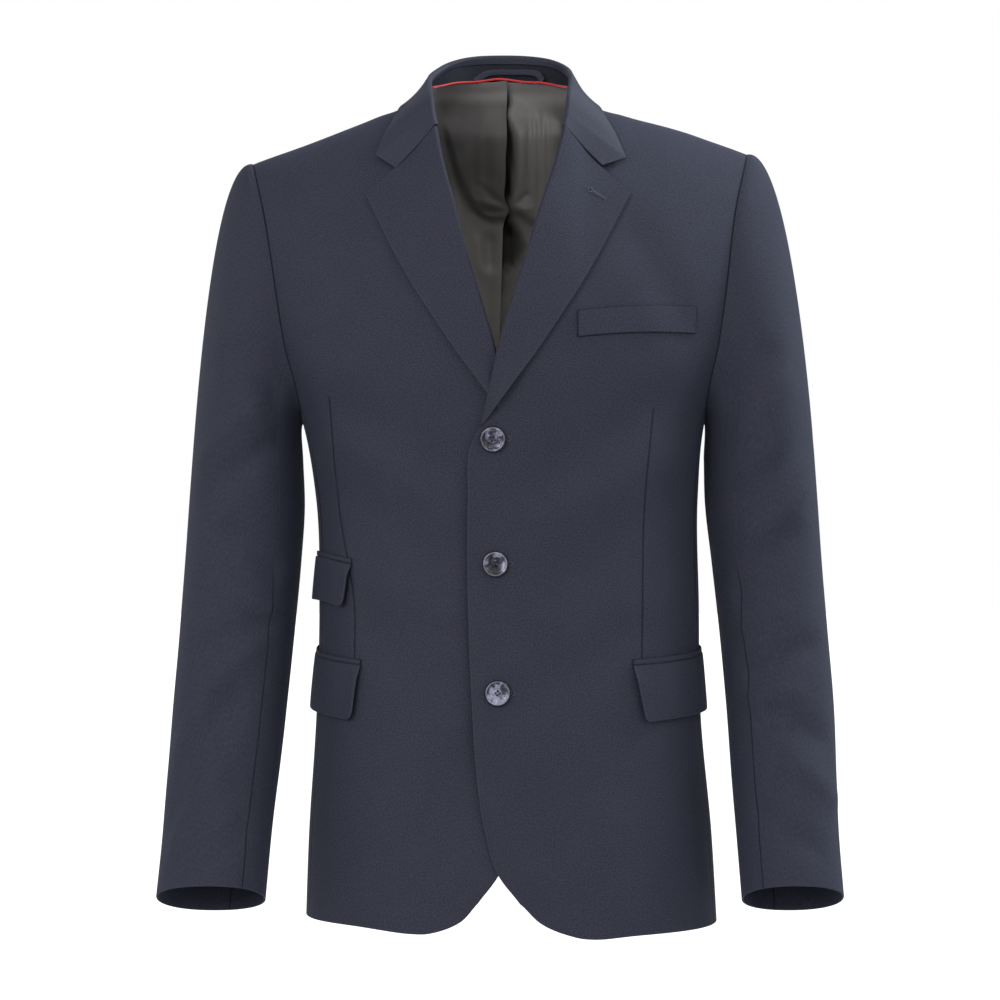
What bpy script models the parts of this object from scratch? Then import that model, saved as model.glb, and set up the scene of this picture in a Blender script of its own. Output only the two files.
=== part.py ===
"""A tailored three-button uniform jacket, filled out as if worn.

Sizes are millimetres, turned into metres where a mesh is made. The wearer faces -Y and Z is up.
The origin is inside the base of the neck, at the height of the inner ends of the shoulder seams.
"left" and "right" are the wearer's: the left side is at +X.

Every body panel is a patch of one body form. A place on the form is an angle and a level: the angle
is 90 at the centre front, 0 at the side and -90 at the centre back, and the level is the height up
to the underarm, then runs on to 0 at the shoulder ridge, where front and back meet.
"""
import math
from collections import namedtuple

import bmesh
import bpy
import numpy as np

METRE = 0.001

LEFT, RIGHT = 1, -1
SIDE_NAMES = {LEFT: "left", RIGHT: "right"}

# Cloth and seams
CLOTH = 1.6
FACING_CLOTH = 1.4
LINING_CLOTH = 1.0
SEAM_GAP = 0.44

# Body
UNDERARM = -275.0
HEM_SIDE = -717.0
HEM_BACK = -686.0
SQUARENESS = 2.5
FRONT_ROUNDNESS = 2.0
BACK_ROUNDNESS = 2.3
CENTRE_FRONT = -3.0
CENTRE_FRONT_RUN = 160.0
LEFT_SHOULDER_LIFT = 7.5
NECK_HALF_WIDTH = 69.0
NAPE_CLIMB = 0.86
FRONT_SEAM_ANGLE = 14.0
BACK_SEAM_ANGLE = -16.0
SHOULDER_TIP_ANGLE = 33.0

# Overlap of the left front on the right one, and the room under it for the right lapel
OVERLAP_LIFT = 3.4
LAPEL_ROOM = 2.8
LAPEL_ROOM_HEIGHT = -255.0
LAPEL_ROOM_SPREAD = 75.0

# Grid sizes, and how far the body's own wall direction counts where a side seam meets the armhole
SKIRT_ROWS = 9
ARMHOLE_ROWS = 8
FRONT_COLUMNS = 7
SIDE_COLUMNS = 3
NECK_COLUMNS = 4
CAP_ROWS = 5
UNDERARM_SHARE = 1.2

# Buttons
BUTTON_RADIUS = 11.0
BUTTON_THICKNESS = 3.4
BUTTON_SIDES = 28
BUTTON_HOLE_RADIUS = 0.9
BUTTON_HOLE_SPREAD = 1.7
BUTTON_STAND_OFF = 0.8

Section = namedtuple("Section", "level half_width centre front back")
SECTIONS = (
    Section(-725, 181, 10, 122, 116),
    Section(-640, 177, 9, 120, 113),
    Section(-535, 169, 7.5, 116, 104),
    Section(-440, 167, 8, 113, 94),
    Section(-345, 168, 6, 117, 96),
    Section(-275, 178, 3, 122, 106),
    Section(-205, 205, 1.5, 126, 114),
    Section(-140, 222, 1, 125, 119),
    Section(-70, 238, 0, 121, 118),
    Section(0, 250, 0, 118, 115),
)

Ridge = namedtuple("Ridge", "out height")
RIDGE = (
    Ridge(0, 79), Ridge(35, 63), Ridge(58, 35), Ridge(69, 16), Ridge(90, -1), Ridge(110, -11),
    Ridge(138, -22.5), Ridge(170, -35), Ridge(217, -52), Ridge(250, -66),
)

# How far round the armhole bites into the form, from the shoulder tip down and back up
Armhole = namedtuple("Armhole", "level angle")
ARMHOLE_FRONT = (Armhole(0, 33), Armhole(-70, 34.5), Armhole(-140, 31.5), Armhole(-205, 26.5),
                 Armhole(-243, 21), Armhole(-266, 14))
ARMHOLE_BACK = (Armhole(0, -33), Armhole(-70, -34), Armhole(-140, -32), Armhole(-200, -27),
                Armhole(-240, -22), Armhole(-264, -16))
ARMHOLE_BOTTOM = -281.0

# The front edge, from the rounded hem corner up to the break and along the roll line to the neck.
# The reach is measured from the centre front, towards the panel's own side. The centre front
# lies a little to the wearer's right, and comes back to the middle towards the neck.
Edge = namedtuple("Edge", "height reach")
BUTTONED_EDGE = {
    LEFT: (Edge(-690, 20), Edge(-664, 0.5), Edge(-628, -10), Edge(-568, -18), Edge(-518, -21),
           Edge(-441, -24), Edge(-344, -24), Edge(-303, -22), Edge(-283, -13)),
    RIGHT: (Edge(-690, 16), Edge(-664, -3), Edge(-628, -12), Edge(-568, -18), Edge(-518, -21),
            Edge(-441, -24), Edge(-344, -24), Edge(-303, -22), Edge(-283, -13)),
}
ROLL_LINE = (Edge(-283, -13), Edge(-251, -6), Edge(-218, 1), Edge(-183, 11), Edge(-140, 24),
             Edge(-95, 36), Edge(-60, 46), Edge(-20, 54.7), Edge(-2, 61), Edge(16, 70))
HEM_CURVE = {
    LEFT: (Edge(-690, 20), Edge(-707, 38), Edge(-717, 61), Edge(-721, 85), Edge(-718.5, 128)),
    RIGHT: (Edge(-690, 16), Edge(-706, 31), Edge(-715, 53), Edge(-716.5, 75), Edge(-713, 120)),
}

# Lapel: the roll line up to the gorge, and the outer edge from the break up to the peak
LAPEL_ROLL = ROLL_LINE[:7] + (Edge(-23.4, 54),)
LAPEL_EDGE = (Edge(-288, -15), Edge(-250, 13), Edge(-219, 36), Edge(-192, 54), Edge(-145, 83),
              Edge(-86.5, 113))
LAPEL_LIFT_BREAK = 2.2
LAPEL_LIFT = 4.2
LAPEL_ROWS = 12
LAPEL_COLUMNS = 4

# Collar, from the centre back round to the gorge: neck seam, fold line and outer edge
Neck = namedtuple("Neck", "seam_x seam_z fold_x fold_y fold_z edge_x edge_z bulge")
COLLAR = (
    Neck(0, None, 0, 74, 54, 0, 9, 4.5),
    Neck(24, None, 25, 70.5, 52.5, 36, 7, 4.5),
    Neck(44, None, 45, 59, 47, 64, 2, 4),
    Neck(59, None, 57, 38, 38, 79, 0, 1),
    Neck(69, 16, 62, 5, 28, 89, -2, 0),
    Neck(66, 9, 61.5, -27, 16, 94, -14, 1.5),
    Neck(61, -2, 59.5, None, 3, 101, -31, 2.5),
    Neck(57, -12, 57, None, -10, 107.5, -50, 1.5),
    Neck(54, -20, 55, None, -20, 89.5, -59.5, 0),
)
COLLAR_BACK_STATIONS = 4
COLLAR_STEPS = 2
COLLAR_ROWS = 3
COLLAR_LIFT = 4.4
STAND_INSET = 3.4
STAND_LAST_STATION = 5

# Sleeve rings below the armhole, for the left sleeve
Ring = namedtuple("Ring", "height out forward half_width half_depth tilt")
SLEEVE_RINGS = (
    Ring(-312, 226, -10, 48.5, 80, 0.02),
    Ring(-350, 227, -6, 50, 73, 0.05),
    Ring(-401, 230.5, 1, 49.5, 65, 0.08),
    Ring(-470, 236, 13, 48.5, 59, 0.13),
    Ring(-530, 240.5, 26, 48, 54, 0.18),
    Ring(-590, 243.5, 42, 47, 50, 0.25),
    Ring(-640, 246.5, 57, 46, 47, 0.31),
    Ring(-691, 250.5, 73, 46, 45, 0.35),
)
SLEEVE_SHIFT = 3.0
SLEEVE_SQUARENESS = 2.2
SLEEVE_FRONT_SEAM = 128.0
SLEEVE_BACK_SEAM = 255.0
CAP_OUTWARD = 0.43
CAP_DOWNWARD = 1.02
CAP_FULLNESS = 0.28

# Lining and neck trims
LINING_LIFT = -3.4
LINING_HANG = 4.0
LINING_HANG_TOP = 10.0
LINING_HEM_BACK = -672.0
LINING_HEM_SIDE = -700.0
LINING_NECK_GAP = 1.0
LINING_SEAM_GAP = 4.0
PLEAT_LAP = 7.0
PLEAT_LIFT = 3.2
PLEAT_SPREAD = 30.0
PLEAT_SHORTFALL = 2.5
PIPING_RADIUS = 1.0
PIPING_INSET = 5.6
LOOP_WIDTH = 5.0
LOOP_INSET = 7.6
LoopPoint = namedtuple("LoopPoint", "x height")
HANGER_LOOP = (LoopPoint(-24, 31), LoopPoint(-12, 38.5), LoopPoint(8, 39.5), LoopPoint(32, 38),
               LoopPoint(40, 30.5))

# Pockets: the flat pieces laid on the fronts
FLAP_LIFT = 3.2
FLAP_FLARE = 5.0
FLAP_SLANT = 4.0
JET_LIFT = 2.4
JET_DEPTH = 4.4
JET_RISE = 0.4
Pocket = namedtuple("Pocket", "suffix side jet flap front_x outer_angle top_front top_side depth columns")
POCKETS = (
    Pocket("", RIGHT, "ticket_jet", "ticket_flap", 124.5, 2, -402, -398, 38, 4),
    Pocket("_right", RIGHT, "pocket_jet", "pocket_flap", 118.5, -9, -488, -483, 48, 5),
    Pocket("_left", LEFT, "pocket_jet", "pocket_flap", 113.0, -9, -488, -482, 48, 5),
)
WELT_LIFT = 2.4
WELT_COLUMNS = 6
WELT_ARCH = 2.0
WeltCorner = namedtuple("WeltCorner", "x top bottom")
WELT = (WeltCorner(65.5, -187, -210), WeltCorner(168.5, -181.5, -205.5))

Button = namedtuple("Button", "name x height")
BUTTONS = (Button("button_top", -6, -296), Button("button_middle", -4, -402),
           Button("button_bottom", -2, -512))

MATERIALS = {
    "cloth": ((0.041, 0.046, 0.066), 0.85, 0.0),
    "facing": ((0.043, 0.047, 0.067), 0.85, 0.0),
    "lining": ((0.078, 0.074, 0.070), 0.40, 0.0),
    "piping": ((0.75, 0.02, 0.03), 0.50, 0.0),
    "button": ((0.11, 0.11, 0.16), 0.22, 0.0),
}


# Numbers and curves

def unit(vectors):
    return vectors / np.maximum(np.linalg.norm(vectors, axis=-1, keepdims=True), 1e-9)


def smooth_step(value):
    value = np.clip(value, 0.0, 1.0)
    return value * value * (3.0 - 2.0 * value)


def through(keys, values, at):
    """A smooth curve through rows of values, with each slope set by the rows on both sides."""
    keys, values = np.asarray(keys, float), np.asarray(values, float)
    if keys[0] > keys[-1]:
        keys, values = keys[::-1], values[::-1]
    slopes = np.gradient(values, keys, axis=0)
    at = np.clip(np.asarray(at, float), keys[0], keys[-1])
    cell = np.clip(np.searchsorted(keys, at) - 1, 0, len(keys) - 2)
    width = keys[cell + 1] - keys[cell]
    t = (at - keys[cell]) / width
    if values.ndim > 1:
        t, width = t[..., None], width[..., None]
    rise = (values[cell + 1] - values[cell]) * (3 - 2 * t) * t * t
    bend = slopes[cell] * (1 - t) ** 2 * t - slopes[cell + 1] * (1 - t) * t * t
    return values[cell] + rise + bend * width


def column(table, name):
    return np.array([getattr(row, name) for row in table], float)


def along_edge(table, count):
    """Points along a table of edge rows, equally spaced, as heights and reaches."""
    rows = np.column_stack([column(table, "height"), column(table, "reach")])
    length = np.concatenate([[0.0], np.cumsum(np.linalg.norm(np.diff(rows, axis=0), axis=1))])
    points = through(length, rows, np.linspace(0.0, length[-1], count + 1))
    return points[:, 0], points[:, 1]


# The body form

def ridge_height(side, out):
    lift = LEFT_SHOULDER_LIFT * smooth_step((out - 90.0) / 120.0) if side == LEFT else 0.0
    return through(column(RIDGE, "out"), column(RIDGE, "height"), np.abs(out)) + lift


def section(level, name):
    return through(column(SECTIONS, "level"), column(SECTIONS, name), level)


def climb_of(level):
    """0 up to the underarm level, 1 on the shoulder ridge."""
    return np.clip(1.0 - np.asarray(level, float) / UNDERARM, 0.0, 1.0)


def body_point(side, angle, level):
    """Superellipse sections, drawn in towards the ridge and lifted with it above the underarm."""
    angle, level = np.broadcast_arrays(np.asarray(angle, float), np.asarray(level, float))
    c, s = np.cos(np.radians(angle)), np.sin(np.radians(angle))
    across = np.sign(c) * np.abs(c) ** (2.0 / SQUARENESS)
    reach = np.abs(s) ** (2.0 / SQUARENESS)
    out = section(level, "half_width") * across
    x = section(level, "centre") + side * out
    climb = climb_of(level)
    roundness = np.where(s > 0, FRONT_ROUNDNESS, BACK_ROUNDNESS)
    closing = (1.0 - climb ** roundness) ** (1.0 / roundness)
    depth = np.where(s > 0, -section(level, "front"), section(level, "back"))
    lifted = UNDERARM + climb * (ridge_height(side, side * x) - UNDERARM)
    z = np.where(level > UNDERARM, lifted, level)
    return np.stack([x, depth * reach * closing, z], axis=-1)


def body_normal(side, angle, level):
    level = np.minimum(level, -1.5)
    turn = body_point(side, angle + 0.5, level) - body_point(side, angle - 0.5, level)
    rise = body_point(side, angle, level + 1.0) - body_point(side, angle, level - 1.0)
    return unit(np.cross(rise, turn)) * side


def level_at(side, x, height):
    """The level of the form that passes through a height, at a distance across."""
    ridge = ridge_height(side, side * np.asarray(x, float))
    climb = np.clip((height - UNDERARM) / (ridge - UNDERARM), 0.0, 1.0)
    return np.where(height > UNDERARM, UNDERARM * (1.0 - climb), height)


def angle_at(side, x, level):
    """The angle on the front of the form that lies at a distance across."""
    across = side * (x - section(level, "centre")) / section(level, "half_width")
    across = np.clip(across, -1.0, 1.0)
    return np.degrees(np.arccos(np.sign(across) * np.abs(across) ** (SQUARENESS / 2.0)))


def place_at(side, x, height, face=1):
    """Angle and level of a point seen at x and a height, on the front (1) or the back (-1)."""
    level = level_at(side, x, height)
    return face * angle_at(side, x, level), level


def front_x(side, height, reach):
    centre = CENTRE_FRONT * smooth_step(-height / CENTRE_FRONT_RUN)
    return centre + side * reach


def overlap_lift(side, points):
    """The left front stands off at the middle, where it lies on the right front and its lapel."""
    if side == RIGHT:
        return np.zeros(points.shape[:-1])
    middle = smooth_step((80.0 - points[..., 0]) / 70.0)
    room = LAPEL_ROOM * np.exp(-((points[..., 2] - LAPEL_ROOM_HEIGHT) / LAPEL_ROOM_SPREAD) ** 2)
    return (OVERLAP_LIFT + room) * middle


def front_point(side, angle, level, lift=0.0):
    """A point on the outside of a front panel, moved out by a lift."""
    points = body_point(side, angle, level)
    total = lift + overlap_lift(side, points)
    return points + body_normal(side, angle, level) * np.asarray(total)[..., None]


# Panels: a grid of outer points with the direction of the wall at each

class Panel:
    def __init__(self, name, points, outward):
        self.name = name
        self.points = points
        rows = np.gradient(points, axis=0)
        columns = np.gradient(points, axis=1)
        self.normals = unit(np.cross(rows, columns))
        if np.sum(self.normals * outward) < 0:
            self.normals = -self.normals


def share_seam(first, first_edge, second, second_edge):
    """Two panels that meet along an edge get one wall direction there, like a mitre."""
    mean = unit(first.normals[first_edge] + second.normals[second_edge])
    first.normals[first_edge] = mean
    second.normals[second_edge] = mean


EDGES = {
    "bottom": (np.s_[0, :], np.s_[1, :]),
    "top": (np.s_[-1, :], np.s_[-2, :]),
    "first": (np.s_[:, 0], np.s_[:, 1]),
    "last": (np.s_[:, -1], np.s_[:, -2]),
}


def trim(panel, *edges):
    """Draw seam edges back by half the seam gap, so that neighbours do not touch."""
    points = panel.points
    moves = []
    for edge in edges:
        outer, inner = EDGES[edge]
        moves.append((outer, unit(points[inner] - points[outer]) * SEAM_GAP / 2.0))
    for outer, move in moves:
        points[outer] += move


def coons(bottom, top, first, last):
    """A grid of places filled in between its four edges."""
    v = np.linspace(0.0, 1.0, len(first))[:, None, None]
    u = np.linspace(0.0, 1.0, len(bottom))[None, :, None]
    ruled = (1 - v) * bottom[None] + v * top[None] + (1 - u) * first[:, None] + u * last[:, None]
    corners = ((1 - u) * (1 - v) * bottom[0] + u * (1 - v) * bottom[-1]
               + (1 - u) * v * top[0] + u * v * top[-1])
    return ruled - corners


def places(angle, level):
    return np.stack(np.broadcast_arrays(angle, level), axis=-1).astype(float)


def armhole_edge(table, seam_angle):
    """Places up one side of a panel: straight up the side seam, then round the armhole."""
    seam_top = table[-1].level
    seam = np.linspace(HEM_SIDE, seam_top, SKIRT_ROWS + 1)
    turn = np.linspace(0.0, 90.0, ARMHOLE_ROWS + 1)[1:]
    levels = seam_top * (1.0 - np.sin(np.radians(turn)))
    angles = through(column(table, "level"), column(table, "angle"), levels)
    return np.concatenate([places(seam_angle, seam), places(angles, levels)])


def front_panel(side):
    height, reach = along_edge(BUTTONED_EDGE[side], SKIRT_ROWS)
    roll_height, roll_reach = along_edge(ROLL_LINE, ARMHOLE_ROWS)
    height = np.concatenate([height, roll_height[1:]])
    x = front_x(side, height, np.concatenate([reach, roll_reach[1:]]))
    first = places(*place_at(side, x, height))
    first[-1] = angle_at(side, side * NECK_HALF_WIDTH, 0.0), 0.0
    last = armhole_edge(ARMHOLE_FRONT, FRONT_SEAM_ANGLE)
    hem = HEM_CURVE[side]
    hem_height = column(hem, "height")
    hem_rows = places(*place_at(side, front_x(side, hem_height, column(hem, "reach")), hem_height))
    hem_rows = np.vstack([hem_rows, [FRONT_SEAM_ANGLE, HEM_SIDE]])
    steps = np.linspace(0.0, len(hem_rows) - 1.0, FRONT_COLUMNS + 1)
    bottom = through(np.arange(len(hem_rows)), hem_rows, steps)
    shoulder_x = np.linspace(side * NECK_HALF_WIDTH, shoulder_tip(side), FRONT_COLUMNS + 1)
    top = places(angle_at(side, shoulder_x, 0.0), 0.0)
    grid = coons(bottom, top, first, last)
    points = front_point(side, grid[..., 0], grid[..., 1])
    return Panel("front_" + SIDE_NAMES[side], points, body_normal(side, grid[..., 0], grid[..., 1]))


def shoulder_tip(side):
    return body_point(side, SHOULDER_TIP_ANGLE, 0.0)[0]


def side_panel(side):
    angles = np.linspace(FRONT_SEAM_ANGLE, BACK_SEAM_ANGLE, SIDE_COLUMNS + 1)
    keys = (BACK_SEAM_ANGLE, 0.5 * BACK_SEAM_ANGLE, 0.0, 0.5 * FRONT_SEAM_ANGLE, FRONT_SEAM_ANGLE)
    seam_back, seam_front = ARMHOLE_BACK[-1].level, ARMHOLE_FRONT[-1].level
    dips = (seam_back, 0.3 * seam_back + 0.7 * ARMHOLE_BOTTOM, ARMHOLE_BOTTOM,
            0.3 * seam_front + 0.7 * ARMHOLE_BOTTOM, seam_front)
    tops = through(keys, dips, angles)
    share = np.linspace(0.0, 1.0, SKIRT_ROWS + 1)[:, None]
    levels = HEM_SIDE + share * (tops[None] - HEM_SIDE)
    angles = np.broadcast_to(angles[None], levels.shape)
    return Panel("side_" + SIDE_NAMES[side], body_point(side, angles, levels),
                 body_normal(side, angles, levels))


def neckline_level(out):
    """The back neckline climbs from the nape to the inner end of the shoulder seam."""
    climb = NAPE_CLIMB + (1.0 - NAPE_CLIMB) * (np.asarray(out) / NECK_HALF_WIDTH) ** 2.2
    return UNDERARM * (1.0 - climb)


def back_places(side, hem, last):
    """Places of a back, from the centre seam to an outer edge, under the neck and shoulder seams."""
    neck_x = side * NECK_HALF_WIDTH * np.sin(np.linspace(0.0, math.pi / 2.0, NECK_COLUMNS + 1))
    neck_level = neckline_level(np.abs(neck_x))
    shoulder_x = np.linspace(side * NECK_HALF_WIDTH, shoulder_tip(side), FRONT_COLUMNS + 1)[1:]
    top = np.concatenate([places(-angle_at(side, neck_x, neck_level), neck_level),
                          places(-angle_at(side, shoulder_x, 0.0), 0.0)])
    top[0, 0] = -90.0
    rise = np.linspace(0.0, 1.0, SKIRT_ROWS + 1)
    up = np.linspace(0.0, 1.0, ARMHOLE_ROWS + 1)[1:]
    levels = np.concatenate([hem + rise * (UNDERARM - hem), UNDERARM + up * (neck_level[0] - UNDERARM)])
    first = places(-90.0, levels)
    bottom_angles = np.linspace(-90.0, last[0, 0], len(top))
    bottom = places(bottom_angles, hem + (last[0, 1] - hem) * smooth_step((bottom_angles + 90) / 74))
    return coons(bottom, top, first, last)


def back_panel(side):
    grid = back_places(side, HEM_BACK, armhole_edge(ARMHOLE_BACK, BACK_SEAM_ANGLE))
    points = body_point(side, grid[..., 0], grid[..., 1])
    return Panel("back_" + SIDE_NAMES[side], points, body_normal(side, grid[..., 0], grid[..., 1]))


# Sleeves

def sleeve_ring(side, ring, turn):
    """An ellipse round the arm: 0 faces away from the body, 90 the front. It tilts up in front."""
    c, s = np.cos(np.radians(turn)), np.sin(np.radians(turn))
    c = np.sign(c) * np.abs(c) ** (2.0 / SLEEVE_SQUARENESS)
    s = np.sign(s) * np.abs(s) ** (2.0 / SLEEVE_SQUARENESS)
    x = SLEEVE_SHIFT + side * (ring.out + ring.half_width * c)
    y = -ring.forward - ring.half_depth * s
    z = ring.height + ring.tilt * ring.half_depth * s
    return np.stack([x, y, z], axis=-1)


def sleeve_points(side, armhole):
    """Rows round the sleeve: the cap leaves the armhole outwards and turns down into the rings."""
    length = np.concatenate([[0.0], np.cumsum(np.linalg.norm(np.diff(armhole, axis=0), axis=1))])
    turn = 360.0 * length / length[-1]
    bicep = sleeve_ring(side, SLEEVE_RINGS[0], turn)
    below = sleeve_ring(side, SLEEVE_RINGS[1], turn)
    reach = np.linalg.norm(bicep - armhole, axis=1, keepdims=True)
    middle = armhole.mean(axis=0)
    radial = (armhole - middle) * (0.0, 1.0, 1.0)
    leave = unit(np.array([side, 0.0, 0.0]) + CAP_FULLNESS * unit(radial)) * reach * CAP_OUTWARD
    arrive = unit(below - bicep) * reach * CAP_DOWNWARD
    rows = []
    for step in range(CAP_ROWS + 1):
        t = step / CAP_ROWS
        rows.append((2 * t ** 3 - 3 * t ** 2 + 1) * armhole + (t ** 3 - 2 * t ** 2 + t) * leave
                    + (3 * t ** 2 - 2 * t ** 3) * bicep + (t ** 3 - t ** 2) * arrive)
    rows.extend(sleeve_ring(side, ring, turn) for ring in SLEEVE_RINGS[1:])
    return np.array(rows), turn


def sleeve_panels(side, front, under, back):
    """The upper sleeve runs from the back seam over the top to the front seam."""
    names = SIDE_NAMES[side]
    down = front.points[:SKIRT_ROWS - 1:-1, -1]
    armhole = np.concatenate([down, under.points[-1, 1:-1], back.points[SKIRT_ROWS:, -1]])
    points, turn = sleeve_points(side, armhole)
    axis = points[:, :-1].mean(axis=1, keepdims=True)
    tube = Panel("sleeve", points, points - axis)
    wrapped = np.concatenate([points[:, -2:-1], points, points[:, 1:2]], axis=1)
    around = (wrapped[:, 2:] - wrapped[:, :-2]) / 2.0
    normals = unit(np.cross(np.gradient(points, axis=0), around))
    tube.normals = normals if np.sum(normals * tube.normals) > 0 else -normals
    body = np.concatenate([front.normals[:SKIRT_ROWS - 1:-1, -1], under.normals[-1, 1:-1],
                           back.normals[SKIRT_ROWS:, -1]])
    body_share = np.ones(len(body))
    body_share[[ARMHOLE_ROWS, ARMHOLE_ROWS + SIDE_COLUMNS]] = UNDERARM_SHARE
    ring = unit(body * body_share[:, None] + tube.normals[0])
    tube.normals[0] = ring
    front.normals[:SKIRT_ROWS - 1:-1, -1] = ring[:ARMHOLE_ROWS + 1]
    under.normals[-1] = ring[ARMHOLE_ROWS:ARMHOLE_ROWS + SIDE_COLUMNS + 1]
    back.normals[SKIRT_ROWS:, -1] = ring[ARMHOLE_ROWS + SIDE_COLUMNS:]
    front_seam = int(np.argmin(np.abs(turn - SLEEVE_FRONT_SEAM)))
    back_seam = int(np.argmin(np.abs(turn - SLEEVE_BACK_SEAM)))
    last = len(turn) - 1
    upper = list(range(back_seam, last)) + list(range(front_seam + 1))
    lower = list(range(front_seam, back_seam + 1))
    pieces = []
    for name, columns in (("sleeve_upper_", upper), ("sleeve_under_", lower)):
        piece = Panel(name + names, points[:, columns], points[:, columns] - axis)
        piece.normals = tube.normals[:, columns]
        trim(piece, "bottom", "first", "last")
        pieces.append(piece)
    return pieces


# Pieces laid on the fronts

def lapel(side):
    """Rows run from the roll line to the outer edge; the top row is the gorge and the notch."""
    height, reach = along_edge(LAPEL_ROLL, LAPEL_ROWS)
    edge_height, edge_reach = along_edge(LAPEL_EDGE, LAPEL_ROWS)
    share = np.linspace(0.0, 1.0, LAPEL_COLUMNS + 1)[None, :]
    heights = height[:, None] * (1 - share) + edge_height[:, None] * share
    reaches = reach[:, None] * (1 - share) + edge_reach[:, None] * share
    growth = smooth_step(np.linspace(0.0, 2.0, LAPEL_ROWS + 1))[:, None]
    roll = 1.0 - 0.35 * smooth_step(share * 1.6)
    lift = (LAPEL_LIFT_BREAK + (LAPEL_LIFT - LAPEL_LIFT_BREAK) * growth) * (growth * roll + 1 - growth)
    angle, level = place_at(side, front_x(side, heights, reaches), heights)
    panel = Panel("lapel_" + SIDE_NAMES[side], front_point(side, angle, level, lift),
                  body_normal(side, angle, level))
    trim(panel, "bottom", "top")
    return panel


def breast_welt():
    share = np.linspace(0.0, 1.0, WELT_COLUMNS + 1)
    x = WELT[0].x + share * (WELT[1].x - WELT[0].x)
    arch = WELT_ARCH * 4.0 * share * (1.0 - share)
    top = WELT[0].top + share * (WELT[1].top - WELT[0].top) + arch
    bottom = WELT[0].bottom + share * (WELT[1].bottom - WELT[0].bottom) + arch
    heights = np.stack([bottom, (top + bottom) / 2.0, top])
    angle, level = place_at(LEFT, np.broadcast_to(x, heights.shape), heights)
    return Panel("breast_welt", front_point(LEFT, angle, level, WELT_LIFT), body_normal(LEFT, angle, level))


def pocket_strip(name, pocket, top_offset, bottom_offset, rows, lift, slant=0.0, flare=0.0):
    """A strip across a pocket: offsets are measured down from the flap's top edge."""
    front_angle = angle_at(pocket.side, pocket.side * pocket.front_x, pocket.top_front)
    share = np.linspace(0.0, 1.0, pocket.columns + 1)[None, :]
    drop = np.linspace(0.0, 1.0, rows + 1)[:, None]
    start = front_angle - slant * drop
    angle = start + share * (pocket.outer_angle - start)
    top = pocket.top_front + share * (pocket.top_side - pocket.top_front)
    level = top - top_offset - drop * (bottom_offset - top_offset)
    stand = lift + flare * drop * (0.25 + 0.75 * smooth_step(1.5 * share - 0.5))
    points = front_point(pocket.side, angle, level, stand)
    return Panel(name + pocket.suffix, points, body_normal(pocket.side, angle, level))


def pocket_pieces():
    for pocket in POCKETS:
        yield pocket_strip(pocket.jet, pocket, -JET_DEPTH, -JET_RISE, 1, JET_LIFT)
        yield pocket_strip(pocket.flap, pocket, 0.0, pocket.depth, 3, FLAP_LIFT, FLAP_SLANT, FLAP_FLARE)


# Collar, lining and neck trims

def neck_lines():
    """Neck seam, fold and outer edge round the whole neck, from the right gorge to the left one."""
    seam, fold, edge = [], [], []
    for side in (RIGHT, LEFT):
        rows = COLLAR[::-1] if side == RIGHT else COLLAR[1:]
        for row in rows:
            station = COLLAR.index(row)
            face = -1 if station < COLLAR_BACK_STATIONS else 1
            seam_height = row.seam_z
            if seam_height is None:
                level = neckline_level(row.seam_x)
                place = -angle_at(side, side * row.seam_x, level), level
            else:
                place = place_at(side, side * row.seam_x, seam_height, face)
            seam.append(body_point(side, *place))
            fold_y = row.fold_y
            if fold_y is None:
                place = place_at(side, side * row.fold_x, row.fold_z)
                fold_y = front_point(side, *place, COLLAR_LIFT)[1]
            fold.append((side * row.fold_x, fold_y, row.fold_z))
            place = place_at(side, side * row.edge_x, row.edge_z, face)
            edge.append(body_point(side, *place) + body_normal(side, *place) * COLLAR_LIFT)
    return np.array(seam), np.array(fold), np.array(edge)


def resample(line, steps):
    """The same line with extra points between its rows."""
    return through(np.arange(len(line)), line, np.linspace(0.0, len(line) - 1.0, steps + 1))


def with_corners(line):
    """A resampled line whose first and last stretches stay straight, with a corner where they end."""
    middle = resample(line[1:-1], COLLAR_STEPS * (len(line) - 3))
    share = np.linspace(0.0, 1.0, COLLAR_STEPS + 1)[:-1, None]
    first = line[0] + (line[1] - line[0]) * share
    last = line[-1] + (line[-2] - line[-1]) * share
    return np.concatenate([first, middle, last[::-1]])


def collar_fall(fold, edge):
    bulge = column(COLLAR, "bulge")
    bulge = resample(np.concatenate([bulge[::-1], bulge[1:]]), COLLAR_STEPS * (len(fold) - 1))
    fold, edge = with_corners(fold), with_corners(edge)
    share = np.linspace(0.0, 1.0, COLLAR_ROWS + 1)[:, None, None]
    flat = fold[None] * (1 - share) + edge[None] * share
    outward = unit(np.cross(np.gradient(fold, axis=0), edge - fold))
    outward *= np.sign(outward[len(fold) // 2, 1])
    points = flat + 4.0 * share * (1 - share) * outward[None] * bulge[None, :, None]
    panel = Panel("collar_fall", points, np.broadcast_to(outward[None], points.shape))
    trim(panel, "first", "last")
    return panel


def towards_neck(line):
    return unit(-line * (1.0, 1.0, 0.0))


def collar_stand(seam, fold):
    middle = len(seam) // 2
    span = slice(middle - STAND_LAST_STATION, middle + STAND_LAST_STATION + 1)
    steps = COLLAR_STEPS * 2 * STAND_LAST_STATION
    low = seam + towards_neck(seam) * STAND_INSET + (0.0, 0.0, 0.6)
    high = fold + towards_neck(fold) * STAND_INSET - (0.0, 0.0, 1.0)
    low, high = resample(low[span], steps), resample(high[span], steps)
    points = np.stack([low, (low + high) / 2.0, high])
    return Panel("collar_stand", points, np.broadcast_to(towards_neck(low)[None], points.shape))


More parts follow.
